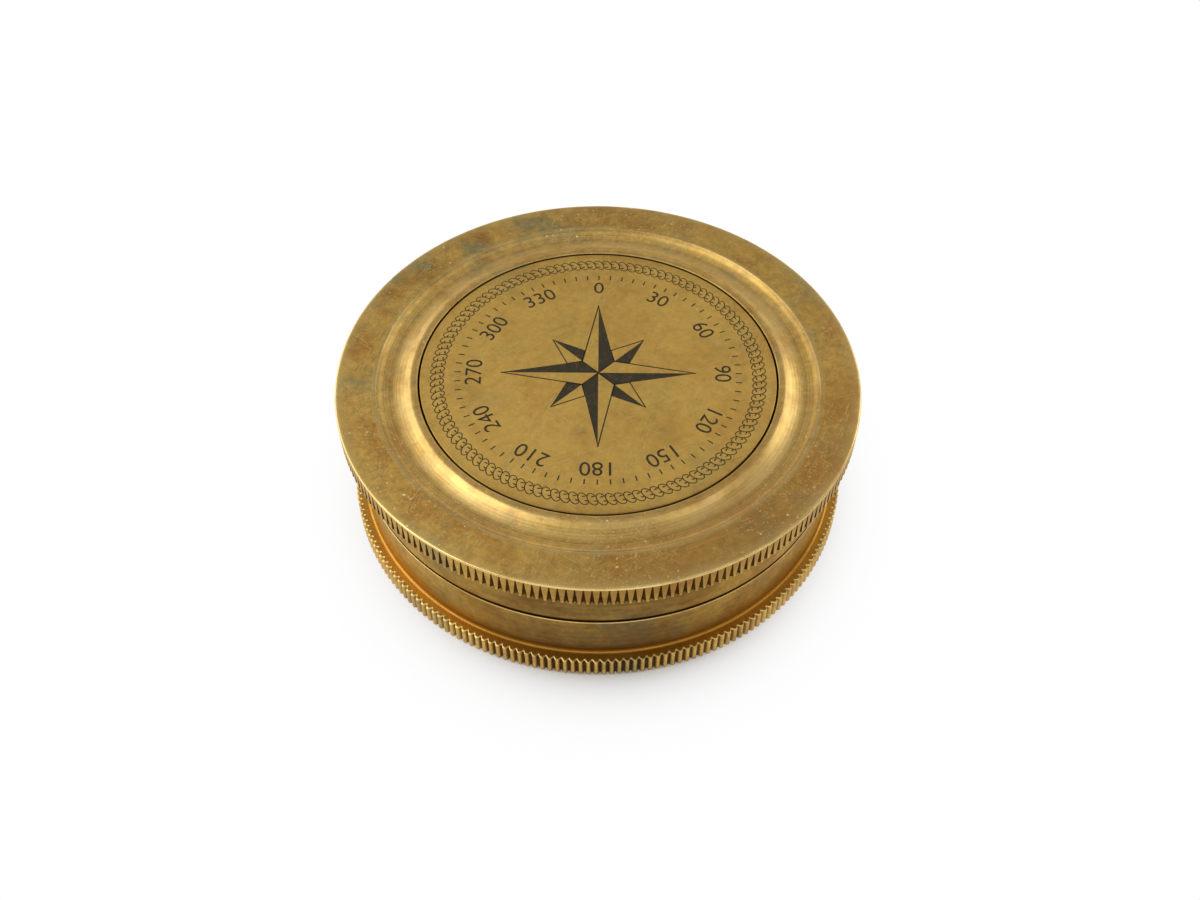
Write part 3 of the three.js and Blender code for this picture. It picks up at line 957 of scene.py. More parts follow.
def wire_brass(context, nodes, shader, look):
    """Aged brass: tarnish, lathe lines, scratches and nicks over it, dark tarnish and painted shade in
    corners, recesses and under the rim, and worn edges lightened with painted highlights.
    """
    finish = context.scene.compass_finish
    place = nodes.place()
    x, _, level = nodes.split(place)
    grime, wear, lines = (nodes.mark(name) for name in MARKS)

    # Tarnish, denser on the stained side, and the lid's top browner and darker towards its front right
    stained = nodes.span(nodes.vector_math("DOT_PRODUCT", place, STAINED_SIDE), 0.02, 0.034)
    stain = nodes.group(
        tarnish_group(),
        Vector=place,
        Clean=look.clean,
        Brown=finish.brown,
        Green=finish.green,
        Amount=nodes.more(look.tarnish, stained, look.stain_side),
        Mottle=look.mottle,
    )
    browned = nodes.span(nodes.vector_math("DOT_PRODUCT", place, BROWNED_SIDE), 0.018, 0.034)
    on_top = nodes.span(level, 0.85 * LID_TOP, 0.95 * LID_TOP)
    front_right_browning = nodes.times(browned, 1.3 * look.stain_side, on_top)
    coloured = nodes.blend(front_right_browning, stain["Color"], finish.brown)

    # Darkest painted shade in notches, recesses and under the rim, and an amber film on the upper face of the
    # foot
    caked_and_shaded = nodes.span(grime, 0.86, 0.98)
    deep = caked_and_shaded
    if look.flange:
        low = nodes.span(level, look.flange + 0.4 * MM, look.flange + 2.2 * MM, 1.0, 0.0)
        above = nodes.span(level, look.flange - 0.3 * MM, look.flange - 0.1 * MM)
        radius = nodes.off_axis(place)
        inside = nodes.span(radius, FOOT_RADIUS - 0.8 * MM, FOOT_RADIUS - 0.4 * MM, 1.0, 0.0)
        glow = nodes.times(low, above, inside)
        coloured = nodes.blend(nodes.times(glow, 0.9), coloured, finish.amber)
        deep = nodes.most(caked_and_shaded, glow)

    # Turned lines and scratches
    turning = nodes.group(lathe_lines_group(), Vector=place)
    scratches = nodes.group(scratches_group(), Vector=place, Share=look.scratches)
    streak = nodes.times(nodes.less(turning["Tone"], 0.5), lines)
    tone = nodes.more(nodes.more(1.0, scratches["Dark"], -0.16), streak, look.line_tone)
    toned = nodes.scaled(coloured, tone)

    # Dark tarnish and painted shade in corners, grooves, recesses and on the walls; left and right sides get
    # less of it, a painted lightening where they reflect a brighter floor
    cloud = nodes.noise(nodes.vector_math("MULTIPLY", place, (0.12, 0.12, 1.0)), 1400.0, 4.0, 0.6)
    grooved = nodes.times(turning["Groove"], lines, look.groove_tone)
    aside = nodes.math("ABSOLUTE", x)
    side_lightening = nodes.most(nodes.span(aside, 0.15 * LID_RADIUS, 0.7 * LID_RADIUS, 1.0, 0.55), caked_and_shaded)
    shade_and_grime_amount = nodes.times(grime, side_lightening, nodes.span(cloud, 0.2, 0.8, 0.88, 1.08))
    settled_and_shaded = nodes.math("MAXIMUM", shade_and_grime_amount, grooved, clamp=True)
    darkened = nodes.blend(settled_and_shaded, toned, nodes.blend(deep, finish.haze, finish.patina))

    # Nicks, worn edges, painted highlights on the edges, the cove and the land, and light scratches where the
    # metal is bare
    small = nodes.group(specks_group(), Vector=place, Scale=2300.0, Share=look.specks, Size=0.26)
    large = nodes.group(specks_group(), Vector=place, Scale=800.0, Share=0.4 * look.specks, Size=0.17)
    bare = nodes.span(settled_and_shaded, 0.05, 0.4, 1.0, 0.0)
    nicks = nodes.times(nodes.most(large["Mask"], nodes.times(small["Mask"], 0.7)), bare)
    exposed = nodes.times(wear, nodes.less(1.0, settled_and_shaded))
    # The rubbed mask also carries the painted highlights
    rubbed = nodes.times(exposed, nodes.span(cloud, 0.3, 0.62, 0.35, 1.0))
    polished_and_highlit = nodes.most(rubbed, nodes.times(scratches["Light"], bare, 0.4))
    brightened = nodes.blend(nicks, nodes.blend(polished_and_highlit, darkened, finish.bright), finish.nick)

    # Roughness and fine relief
    dull = nodes.more(nodes.more(look.roughness, stain["Mask"], 0.06), lines, 0.05)
    dull = nodes.math("ADD", nodes.span(settled_and_shaded, 0.5, 1.0, 0.0, 0.3), dull)
    dull = nodes.more(nodes.more(dull, nicks, 0.4), polished_and_highlit, -0.1)
    grain = nodes.times(nodes.noise(place, 2400.0, 3.0, 0.6), 0.12)
    height = nodes.more(nodes.more(grain, turning["Height"], lines), scratches["Light"], -0.12)
    nodes.fill(
        shader,
        Base_Color=brightened,
        Metallic=nodes.more(1.0, settled_and_shaded, -0.3),
        Roughness=nodes.most(dull, 0.12),
        Normal=nodes.bump(height, look.line_depth),
        Anisotropic=0.3,
        Anisotropic_Rotation=0.25,
        Coat_Roughness=0.22,
        Specular_IOR_Level=0.1,
        Specular_Tint=finish.graze,
    )
    if look.lacquer:
        nodes.fill(shader, Coat_Weight=nodes.span(settled_and_shaded, 0.0, 0.6, look.lacquer, 0.0))


@material("aged_brass_turned")
def aged_brass(context, nodes, shader):
    """Antiqued brass of the lid and the case."""
    look = BrassLook(
        context.scene.compass_finish.gold, tarnish=0.7, mottle=0.32, line_depth=4.0e-5, roughness=0.32,
        specks=0.9, scratches=0.46, lacquer=0.4, line_tone=0.85, groove_tone=0.3, stain_side=0.4,
        flange=context.scene.compass_case.foot_height,
    )
    wire_brass(context, nodes, shader, look)


@material("disc_brass_rolled")
def sheet_brass(context, nodes, shader):
    """Rolled brass sheet of the engraved disc."""
    look = BrassLook(
        context.scene.compass_finish.sheet, tarnish=0.3, mottle=0.16, line_depth=1.2e-5, roughness=0.32,
        specks=0.12, scratches=0.55, lacquer=0.3,
    )
    wire_brass(context, nodes, shader, look)


@material("bright_brass_turned")
def fresh_brass(context, nodes, shader):
    """Bright turned brass inside the compass."""
    look = BrassLook(
        context.scene.compass_finish.bright, tarnish=0.15, mottle=0.05, line_depth=1.2e-5, roughness=0.27,
        specks=0.0, scratches=0.66, line_tone=0.2, groove_tone=0.2,
    )
    wire_brass(context, nodes, shader, look)


@material("engraving_fill")
def engraving_fill(context, nodes, shader):
    """Dark filling of engraved lines, worn a little thin."""
    finish = context.scene.compass_finish
    place = nodes.place()
    worn = nodes.span(nodes.noise(place, 1500.0, 4.0, 0.7), 0.5, 0.8, 0.0, 0.22)
    nodes.fill(
        shader,
        Base_Color=nodes.blend(worn, finish.fill, finish.brown),
        Roughness=nodes.span(worn, 0.0, 0.5, 0.7, 0.5),
        Specular_IOR_Level=0.2,
        Normal=nodes.bump(nodes.noise(place, 2600.0, 3.0), 4e-6),
    )


@material("cream_enamel")
def dial_enamel(context, nodes, shader):
    """Cream enamel of the dial, slightly clouded."""
    place = nodes.place()
    cloud = nodes.span(nodes.noise(place, 110.0, 4.0, 0.6), 0.35, 0.75)
    nodes.fill(
        shader,
        Base_Color=nodes.blend(cloud, (0.8, 0.74, 0.56, 1), (0.7, 0.61, 0.42, 1)),
        Roughness=nodes.span(cloud, 0.0, 1.0, 0.38, 0.52),
        Coat_Weight=0.2,
        Coat_Roughness=0.25,
        Normal=nodes.bump(nodes.noise(place, 1300.0, 2.0), 6e-6),
    )


@material("dial_ink")
def dial_ink(context, nodes, shader):
    """Black printing on the dial."""
    thin = nodes.span(nodes.noise(nodes.place(), 1800.0, 3.0, 0.6), 0.5, 0.8)
    colour = nodes.blend(thin, (0.018, 0.018, 0.02, 1), (0.06, 0.055, 0.05, 1))
    nodes.fill(shader, Base_Color=colour, Roughness=nodes.span(thin, 0.0, 1.0, 0.45, 0.6))


@material("needle_steel")
def needle_steel(context, nodes, shader):
    """Steel blade: heat-blued north half, bright south half, ground along its length."""
    place = nodes.place()
    x, y, _ = nodes.split(place)
    grain = nodes.noise(nodes.combine(x, nodes.times(y, 0.04), 0.0), 5000.0, 3.0, 0.6)
    north = nodes.span(y, -0.0004, 0.0004)
    heat = nodes.span(nodes.noise(place, 160.0, 3.0), 0.3, 0.7)
    blued = nodes.blend(heat, (0.02, 0.035, 0.12, 1), (0.05, 0.06, 0.2, 1))
    bright = nodes.blend(grain, (0.5, 0.5, 0.5, 1), (0.66, 0.66, 0.65, 1))
    nodes.fill(
        shader,
        Base_Color=nodes.blend(north, bright, blued),
        Roughness=nodes.span(grain, 0.2, 0.8, 0.22, 0.36),
        Metallic=1.0,
        Normal=nodes.bump(grain, 2e-6),
    )


@material("pin_steel")
def pin_steel(context, nodes, shader):
    """Hard ground steel of the pin."""
    lines = nodes.group(lathe_lines_group(), Vector=nodes.place(), Lines_per_Metre=9000.0)
    nodes.fill(
        shader,
        Base_Color=nodes.blend(lines["Tone"], (0.46, 0.46, 0.47, 1), (0.6, 0.6, 0.6, 1)),
        Roughness=nodes.span(lines["Tone"], 0.0, 1.0, 0.2, 0.3),
        Metallic=1.0,
        Normal=nodes.bump(lines["Height"], 1e-6),
    )


@material("jewel_ruby")
def jewel_red(context, nodes, shader):
    """Ruby of the bearing."""
    cloud = nodes.noise(nodes.place(), 1200.0, 3.0)
    colour = nodes.blend(cloud, (0.3, 0.012, 0.03, 1), (0.5, 0.03, 0.06, 1))
    nodes.fill(shader, Base_Color=colour, Roughness=nodes.span(cloud, 0.2, 0.8, 0.05, 0.12), IOR=1.76)


@material("flat_glass")
def clear_glass(context, nodes, shader):
    """Clear flat glass that lets lamp light through, with faint smears."""
    smear = nodes.span(nodes.noise(nodes.place(), 70.0, 4.0, 0.6), 0.5, 0.8, 0.0, 0.05)
    nodes.fill(
        shader, Base_Color=(0.97, 0.985, 0.98, 1.0), Roughness=smear, Transmission_Weight=1.0, IOR=1.5
    )
    shadow = nodes.add("ShaderNodeLightPath").outputs["Is Shadow Ray"]
    clear = nodes.add("ShaderNodeBsdfTransparent").outputs[0]
    return nodes.mix_shaders(shadow, shader.outputs[0], clear)


@material("white_table")
def white_table(context, nodes, shader):
    """White table top: shaded close to the foot, plain white further off, clear from below."""
    nodes.fill(shader, Base_Color=(0.88, 0.88, 0.88, 1.0), Roughness=0.6)
    path = nodes.add("ShaderNodeLightPath").outputs
    seen = nodes.most(path["Is Camera Ray"], path["Is Glossy Ray"], path["Is Transmission Ray"])
    oval = nodes.vector_math("MULTIPLY", nodes.place(), (1.12, 1.0, 1.0))
    beyond = nodes.most(nodes.less(nodes.vector_math("LENGTH", oval), FOOT_RADIUS), 0.0)
    shade = nodes.math("EXPONENT", nodes.times(beyond, -1 / SHADE_REACH))
    white = nodes.add("ShaderNodeEmission").outputs[0]
    lit = nodes.mix_shaders(nodes.times(seen, nodes.less(1.0, shade)), shader.outputs[0], white)
    below = nodes.add("ShaderNodeNewGeometry").outputs["Backfacing"]
    return nodes.mix_shaders(below, lit, nodes.add("ShaderNodeBsdfTransparent").outputs[0])


def inlay(level):
    """Bottom and top of what is let into a face at a level."""
    return level - INLAY_DEPTH, level + INLAY_RISE


def rose_point(reach, side_radius, side_turn, waist_radius, line, bottom, top):
    """Point of a wind rose that looks along +Y: its right half filled, its left half drawn in line."""
    tip = (0.0, reach)
    waist = (0.0, waist_radius)
    aside = side_radius * math.sin(side_turn)
    out = side_radius * math.cos(side_turn)
    filled = prism([tip, (aside, out), waist], bottom, top)
    outline = stroke([waist, (-aside, out), tip], [line] * 3, bottom, top)
    return joined("rose_point", [filled, outline])


def wind_rose(context, name, sizes, level, look):
    """Eight-pointed wind rose let into a face, as two pieces: long points and short points."""
    waist = sizes.rose_waist
    line = sizes.line_width
    quarter = math.pi / 4
    eighth = math.pi / 8
    long_point = rose_point(sizes.rose_long, waist, quarter, 0.0, line, *inlay(level))
    ring_of(context, name + "_long_points", long_point, 4, look)
    across = waist * math.sin(quarter)
    slope = across / (sizes.rose_long - across)
    reach = slope * sizes.rose_long / (math.sin(eighth) + slope * math.cos(eighth))
    short_point = rose_point(sizes.rose_short, reach, eighth, waist, line, *inlay(level))
    ring_of(context, name + "_short_points", short_point, 4, look, quarter)


def chain_link(sizes):
    """One link of the chain border: an open oval that leans, with two short curls in it."""
    line = sizes.chain_line
    half_height = (sizes.link_height - line) / 2
    half_width = LINK_HALF_WIDTH * 2 * math.pi * sizes.chain_radius / sizes.chain_links

    def place(aside, out):
        lean = sizes.link_lean * out * half_height
        return -(aside * half_width + lean), sizes.chain_radius + out * half_height

    oval = [place(math.cos(t), math.sin(t)) for t in np.linspace(*LINK_OPENING, LINK_POINTS)]
    meshes = [stroke(oval, [line] * len(oval), *inlay(DISC_TOP))]
    widths = CURL_ENDS + CURL_SWELLING * np.sin(math.pi * np.linspace(0, 1, CURL_STEPS + 1))
    for start, control, end in LINK_CURLS:
        path = [place(*point) for point in bend(start, control, end, CURL_STEPS)]
        meshes.append(stroke(path, line * widths, *inlay(DISC_TOP)))
    return joined("chain_link", meshes)


def tick_mark(radius, height, width, bottom, top):
    """One straight tick that points to the axis."""
    half = width / 2
    inner = radius - height
    return prism([(-half, inner), (half, inner), (half, radius), (-half, radius)], bottom, top)


class COMPASS_OT_lid(bpy.types.Operator):
    """Knurled lid with its turned cove, skirt and inner thread"""

    bl_idname = "compass.lid"
    bl_label = "Lid"

    def execute(self, context):
        sizes = context.scene.compass_lid
        skirt = LID_RADIUS - sizes.rim_overhang
        bore = skirt - sizes.skirt_wall
        rim_bottom = LID_TOP - sizes.rim_height
        band = rim_bottom - sizes.dark_band
        notch_top = LID_TOP - sizes.plain_edge
        cove_edge = LID_RADIUS - sizes.ring_width
        valley = cove_edge - sizes.cove_outer
        land = valley - sizes.cove_inner
        recess = land - sizes.land_width
        floor = LID_TOP - sizes.cove_depth
        broken = 0.1 * MM
        blunt = 0.04 * MM
        margin = 0.9 * MM
        inside = section([
            Corner(0.0, CEILING, grime=0.4),
            Corner(bore, CEILING, 0.2 * MM, grime=0.6, steps=4),
            Corner(bore, SKIRT_BOTTOM, broken, grime=0.35, steps=3),
            Corner(skirt - 1.5 * broken, SKIRT_BOTTOM, grime=1.0),
            Corner(skirt, SKIRT_BOTTOM + 1.5 * broken, 0.4 * broken, grime=0.85),
            Corner(skirt, SKIRT_BOTTOM + 4 * broken, grime=0.7),
            # Painted shade under the rim's overhang, darkening the top of the skirt
            Corner(skirt, band - 2.5 * broken, grime=0.72, steps=4),
            Corner(skirt, band, grime=1.12),
            Corner(skirt, rim_bottom, 0.15 * MM, grime=1.12, steps=2),
            Corner(LID_RADIUS - margin, rim_bottom, grime=0.8, steps=2),
        ])
        levels = np.linspace(rim_bottom + 3 * broken, notch_top, 8)
        rim = section([
            Corner(LID_RADIUS - blunt, rim_bottom, grime=0.3, lines=0.2),
            Corner(LID_RADIUS, rim_bottom + blunt, grime=0.1, wear=0.3, lines=0.2),
            *(Corner(LID_RADIUS, level, grime=0.42, lines=0.2) for level in levels),
            Corner(LID_RADIUS, notch_top + 0.4 * broken, grime=0.1, wear=0.1, lines=0.2),
        ])
        outer_slope = ((cove_edge, LID_TOP), ((cove_edge + valley) / 2, floor), (valley, floor))
        inner_slope = ((valley, floor), ((valley + land) / 2, floor), (land, LID_TOP))
        # Worn edges, and painted highlights on the top edge, the cove and the land
        face = section([
            Corner(LID_RADIUS, LID_TOP - 2.4 * broken, wear=0.3, lines=0.1),
            Corner(LID_RADIUS, LID_TOP, 2.2 * broken, wear=0.9, lines=0.1),
            Corner(LID_RADIUS - 5 * broken, LID_TOP, wear=0.35, lines=0.1),
            Corner(LID_RADIUS - 16 * broken, LID_TOP, wear=0.1, lines=0.1, steps=2),
            Corner(LID_RADIUS - 30 * broken, LID_TOP, lines=0.1, steps=2),
            Corner(cove_edge + 6 * broken, LID_TOP, lines=0.1, steps=3),
            Corner(cove_edge, LID_TOP, 2 * broken, wear=0.45, lines=0.6),
            *curve(*outer_slope, wear=0.2, lines=1.0),
            *curve(*inner_slope, wear=0.5, lines=1.0),
            Corner(land - 2 * broken, LID_TOP, wear=0.22, lines=0.5),
            Corner(recess + 3 * broken, LID_TOP, wear=0.18, lines=0.4),
            Corner(recess, LID_TOP, broken, wear=0.5, lines=0.5),
            # Painted shade, with dark tarnish, in the recess round the disc
            Corner(recess, LID_TOP - 3 * broken, grime=1.0),
            Corner(recess, DISC_SEAT, broken, grime=1.0),
            Corner(0.0, DISC_SEAT, grime=1.0, steps=3),
        ])
        cuts = [1] * (len(rim) - 1) + [0]
        made = knurled_object(
            context, "knurled_lid", inside, rim, cuts, face, sizes.teeth,
            Rim_Radius=LID_RADIUS,
            Bottom=rim_bottom,
            Top=notch_top,
            Depth_Bottom=sizes.notch_depth,
            Depth_Top=sizes.notch_end,
            Notch_Angle=sizes.notch_angle,
            # Painted shade in the notches
            Dirt_Core=0.42,
            Dirt_Edge=0.5,
            Dirt=1.0,
        )
        look = PieceLook("lid", ("lid_shell",), "aged_brass", aged_brass(context))
        dress(made, look)
        thread_piece(context, "lid_thread", look, bore + 0.1 * MM, 0.24 * MM)
        return {"FINISHED"}


class COMPASS_OT_disc(bpy.types.Operator):
    """Disc let into the lid, with its chain border, degree figures and wind rose"""

    bl_idname = "compass.disc"
    bl_label = "Engraved Disc"

    def execute(self, context):
        sizes = context.scene.compass_engraving
        chamfer = 0.12 * MM
        look = PieceLook("lid", ("lid_disc",), "disc_brass", sheet_brass(context))
        turned_piece(context, "engraved_disc", [
            Corner(0.0, DISC_SEAT, grime=0.8),
            # Painted shade on the disc's edge and the rim of its face next to the gap
            Corner(DISC_RADIUS, DISC_SEAT, chamfer, grime=1.0, steps=2),
            Corner(DISC_RADIUS, DISC_TOP - 3 * chamfer, grime=1.0),
            Corner(DISC_RADIUS, DISC_TOP, chamfer, grime=0.6),
            Corner(DISC_RADIUS - 1.4 * chamfer, DISC_TOP, grime=0.3, lines=0.0),
            Corner(DISC_RADIUS - 4 * chamfer, DISC_TOP, grime=0.2, lines=0.0),
            Corner(DISC_RADIUS - 16 * chamfer, DISC_TOP, lines=0.0),
            Corner(0.0, DISC_TOP, lines=0.0, steps=6),
        ], look)
        line = PieceLook("lid", (), "disc_brass", engraving_fill(context))
        ring_of(context, "chain_border", chain_link(sizes), sizes.chain_links, line)
        tick = tick_mark(sizes.tick_outer, sizes.tick_height, sizes.line_width, *inlay(DISC_TOP))
        ring_of(context, "disc_ticks", tick, sizes.tick_count, line)
        wind_rose(context, "disc_rose", sizes, DISC_TOP, line)
        figures = [(str(n), -math.radians(n)) for n in range(0, 360, 30)]
        mesh = lettering(context, figures, sizes.figure_radius, sizes.figure_height, *inlay(DISC_TOP))
        dressed(context, "disc_figures", mesh, line)
        return {"FINISHED"}


class COMPASS_OT_lining(bpy.types.Operator):
    """Thin plate that lines the inside of the lid"""

    bl_idname = "compass.lining"
    bl_label = "Lid Lining"

    def execute(self, context):
        broken = 0.1 * MM
        look = PieceLook("lid", ("lid_inner_plate",), "turned_brass", fresh_brass(context))
        turned_piece(context, "lid_lining", [
            Corner(0.0, LINING_BOTTOM),
            Corner(LINING_RADIUS - 4 * broken, LINING_BOTTOM, steps=4),
            Corner(LINING_RADIUS, LINING_BOTTOM, broken, grime=0.2, wear=0.3),
            Corner(LINING_RADIUS, CEILING, broken, grime=0.6),
            Corner(0.0, CEILING, grime=0.6, steps=4),
        ], look)
        return {"FINISHED"}


class COMPASS_OT_case(bpy.types.Operator):
    """Case with its knurled foot, plain wall, threaded neck and bored chamber"""

    bl_idname = "compass.case"
    bl_label = "Case"

    def execute(self, context):
        sizes = context.scene.compass_case
        wall = FOOT_RADIUS - sizes.foot_overhang
        foot_top = sizes.foot_height
        shoulder = foot_top + sizes.wall_height
        neck = wall - context.scene.compass_lid.skirt_wall - sizes.thread_clearance
        bore = neck - sizes.neck_wall
        groove = bore + sizes.groove_depth
        fillet = sizes.foot_fillet
        chamfer = sizes.shoulder_chamfer
        neck_chamfer = sizes.neck_chamfer
        bevel = sizes.tooth_bevel
        gap = sizes.fit_gap
        hole = context.scene.compass_inside.post_shank + gap
        broken = 0.12 * MM
        margin = 0.9 * MM
        under = section([
            Corner(0.0, UNDERSIDE, grime=0.15),
            Corner(FOOT_RADIUS - margin, UNDERSIDE, grime=0.2, steps=8),
        ])
        levels = np.linspace(UNDERSIDE + 4 * broken, foot_top - 2 * bevel, 5)
        rim = section([
            Corner(FOOT_RADIUS - broken, UNDERSIDE, grime=0.4, wear=0.3, lines=0.2),
            Corner(FOOT_RADIUS, UNDERSIDE + broken, grime=0.2, wear=0.4, lines=0.2),
            *(Corner(FOOT_RADIUS, level, grime=0.05, wear=0.22, lines=0.2) for level in levels),
            # Worn bevel at the tops of the teeth, lightened with painted highlight
            Corner(FOOT_RADIUS, foot_top - bevel, wear=0.5, lines=0.2),
            Corner(FOOT_RADIUS - 1.8 * bevel, foot_top, grime=0.1, wear=0.55, lines=0.2),
            Corner(FOOT_RADIUS - 3.4 * bevel, foot_top, grime=0.5, lines=0.2),
        ])
        upper = section([
            # Dark tarnish and painted shade on the foot's upper face and the wall, darkest where they meet
            Corner(FOOT_RADIUS - margin, foot_top, grime=0.6),
            Corner(wall + 1.2 * fillet, foot_top, grime=0.66),
            *curve((wall + fillet, foot_top), (wall, foot_top), (wall, foot_top + fillet), 8, grime=0.5),
            Corner(wall, foot_top + 1.6 * fillet, grime=0.94),
            Corner(wall, foot_top + 5 * fillet, grime=0.72, steps=3),
            Corner(wall, shoulder - 3 * chamfer, grime=0.66, steps=5),
            Corner(wall, shoulder - chamfer, 0.03 * MM, grime=0.15, wear=0.8),
            Corner(wall - chamfer, shoulder, 0.02 * MM, grime=0.4, wear=0.6),
            Corner(wall - 1.3 * chamfer, shoulder, grime=1.0),
            Corner(wall - 0.8 * MM, shoulder, grime=0.95),
            Corner(neck, shoulder, 0.1 * MM, grime=0.5, steps=3),
            Corner(neck, NECK_TOP - neck_chamfer, 0.05 * MM, grime=0.2, wear=0.2, steps=4),
            Corner(neck - neck_chamfer, NECK_TOP, 0.05 * MM, wear=0.6),
            Corner(bore, NECK_TOP, 0.08 * MM, wear=0.4),
            Corner(bore, SPLIT_RING_TOP + gap, grime=0.4),
            Corner(groove, SPLIT_RING_TOP + gap, grime=0.9),
            Corner(groove, SPLIT_RING_BOTTOM - gap, grime=0.9),
            Corner(bore, SPLIT_RING_BOTTOM - gap, grime=0.4),
            Corner(bore, FLOOR_LEVEL, 0.15 * MM, grime=0.6, steps=2),
            Corner(hole, FLOOR_LEVEL, grime=0.4, steps=3),
            Corner(hole, POST_BOTTOM - gap, grime=0.6),
            Corner(0.0, POST_BOTTOM - gap, grime=0.6),
        ])
        cuts = [1] * (len(rim) - 3) + [0.02, 0.02, 0.5]
        made = knurled_object(
            context, "knurled_case", under, rim, cuts, upper, sizes.teeth,
            Rim_Radius=FOOT_RADIUS,
            Bottom=UNDERSIDE,
            Top=foot_top,
            Depth_Bottom=sizes.notch_depth,
            Depth_Top=sizes.notch_depth,
            Notch_Angle=sizes.notch_angle,
            # Painted shade in the notches
            Dirt_Core=0.26,
            Dirt_Edge=0.42,
            Dirt=0.92,
        )
        look = PieceLook("case", ("base_case",), "aged_brass", aged_brass(context))
        dress(made, look)
        thread_piece(context, "neck_thread", look, neck - 0.08 * MM, 0.27 * MM)
        return {"FINISHED"}


class COMPASS_OT_dial(bpy.types.Operator):
    """Enamel dial with its printed rose, letters and degree ticks"""

    bl_idname = "compass.dial"
    bl_label = "Dial"

    def execute(self, context):
        sizes = context.scene.compass_engraving
        inner = context.scene.compass_inside
        hole = inner.post_shank + context.scene.compass_case.fit_gap
        broken = 0.08 * MM
        look = PieceLook("case", ("dial_plate",), "dial_enamel", dial_enamel(context))
        turned_piece(context, "enamel_dial", [
            Corner(hole, FLOOR_LEVEL),
            Corner(INSERT_RADIUS, FLOOR_LEVEL, broken, steps=3),
            Corner(INSERT_RADIUS, DIAL_TOP, broken),
            Corner(hole, DIAL_TOP, broken, steps=6),
        ], look, closed=True)
        ink = PieceLook("case", (), "dial_enamel", dial_ink(context))
        wind_rose(context, "dial_rose", sizes, DIAL_TOP, ink)
        letters = [(word, -math.radians(90 * turn)) for turn, word in enumerate("NESW")]
        mesh = lettering(context, letters, inner.letter_radius, inner.letter_height, *inlay(DIAL_TOP))
        dressed(context, "dial_letters", mesh, ink)
        tick = tick_mark(inner.dial_tick_outer, inner.dial_tick_height, sizes.line_width, *inlay(DIAL_TOP))
        ring_of(context, "dial_ticks", tick, sizes.tick_count, ink)
        circle = ring_line(inner.dial_circle, sizes.line_width, *inlay(DIAL_TOP))
        dressed(context, "dial_circle", circle, ink)
        return {"FINISHED"}


class COMPASS_OT_screws(bpy.types.Operator):
    """Two slotted screws that hold the dial"""

    bl_idname = "compass.screws"
    bl_label = "Dial Screws"

    def execute(self, context):
        inner = context.scene.compass_inside
        broken = 0.1 * MM
        middle = (SCREW_LOW.x + SCREW_HIGH.x) / 2
        head = (SCREW_HIGH.x - SCREW_LOW.x) / 2
        shank = head / 2
        rows = section([
            Corner(0.0, SCREW_LOW.z),
            Corner(shank, SCREW_LOW.z, broken),
            Corner(shank, DIAL_TOP),
            Corner(head, DIAL_TOP),
            Corner(head, SCREW_HIGH.z, 2 * broken, wear=0.5),
            Corner(0.0, SCREW_HIGH.z, steps=3),
        ])
        mesh = turned_mesh("dial_screws", [(rows, even_columns(SMALL_COLUMNS))])
        face_outwards(mesh)
        made = new_object(context, "dial_screws", mesh)
        half = inner.slot_width / 2
        outline = [(-half, -2 * head), (half, -2 * head), (half, 2 * head), (-half, 2 * head)]
        slot = prism(outline, SCREW_HIGH.z - inner.slot_depth, SCREW_HIGH.z + inner.slot_depth)
        face_outwards(slot)
        cutter = new_object(context, "slot", slot)
        cut = made.modifiers.new("slot", "BOOLEAN")
        cut.object = cutter
        cut.operation = "DIFFERENCE"
        slotted = evaluated_mesh(context, made)
        made.modifiers.remove(cut)
        bpy.data.objects.remove(cutter)
        slotted.transform(Matrix.Translation((middle, 0, 0)))
        made.data = slotted
        nodes = ("dial_screw_west", "dial_screw_east")
        look = PieceLook("case", nodes, "turned_brass", fresh_brass(context))
        run_nodes(context, made, ring_tree(), Copies=2, First_Angle=0.0, Material=look.material)
        dress(made, look)
        return {"FINISHED"}


class COMPASS_OT_pivot(bpy.types.Operator):
    """Shouldered post and the steel pin in it"""

    bl_idname = "compass.pivot"
    bl_label = "Pivot"

    def execute(self, context):
        inner = context.scene.compass_inside
        shank = inner.post_shank
        socket = PIN_RADIUS + context.scene.compass_case.fit_gap
        broken = 0.06 * MM
        brass = PieceLook("case", ("pivot_post",), "turned_brass", fresh_brass(context))
        turned_piece(context, "needle_post", [
            Corner(0.0, POST_BOTTOM),
            Corner(shank, POST_BOTTOM, broken),
            Corner(shank, DIAL_TOP),
            Corner(SHOULDER_RADIUS, DIAL_TOP),
            Corner(SHOULDER_RADIUS, DIAL_TOP + inner.post_shoulder, 2 * broken, wear=0.4),
            Corner(shank, POST_TOP, broken, wear=0.4, steps=4),
            Corner(socket, POST_TOP, grime=0.4),
            Corner(socket, PIN_BOTTOM, grime=0.8),
            Corner(0.0, PIN_BOTTOM, grime=0.8),
        ], brass, SMALL_COLUMNS)
        steel = PieceLook("case", ("pivot_pin",), "bright_steel", pin_steel(context))
        turned_piece(context, "needle_pin", [
            Corner(0.0, PIN_BOTTOM),
            Corner(PIN_RADIUS, PIN_BOTTOM, broken),
            Corner(PIN_RADIUS, PIN_TIP - inner.pin_point, broken),
            Corner(0.0, PIN_TIP, steps=3),
        ], steel, SMALL_COLUMNS)
        return {"FINISHED"}


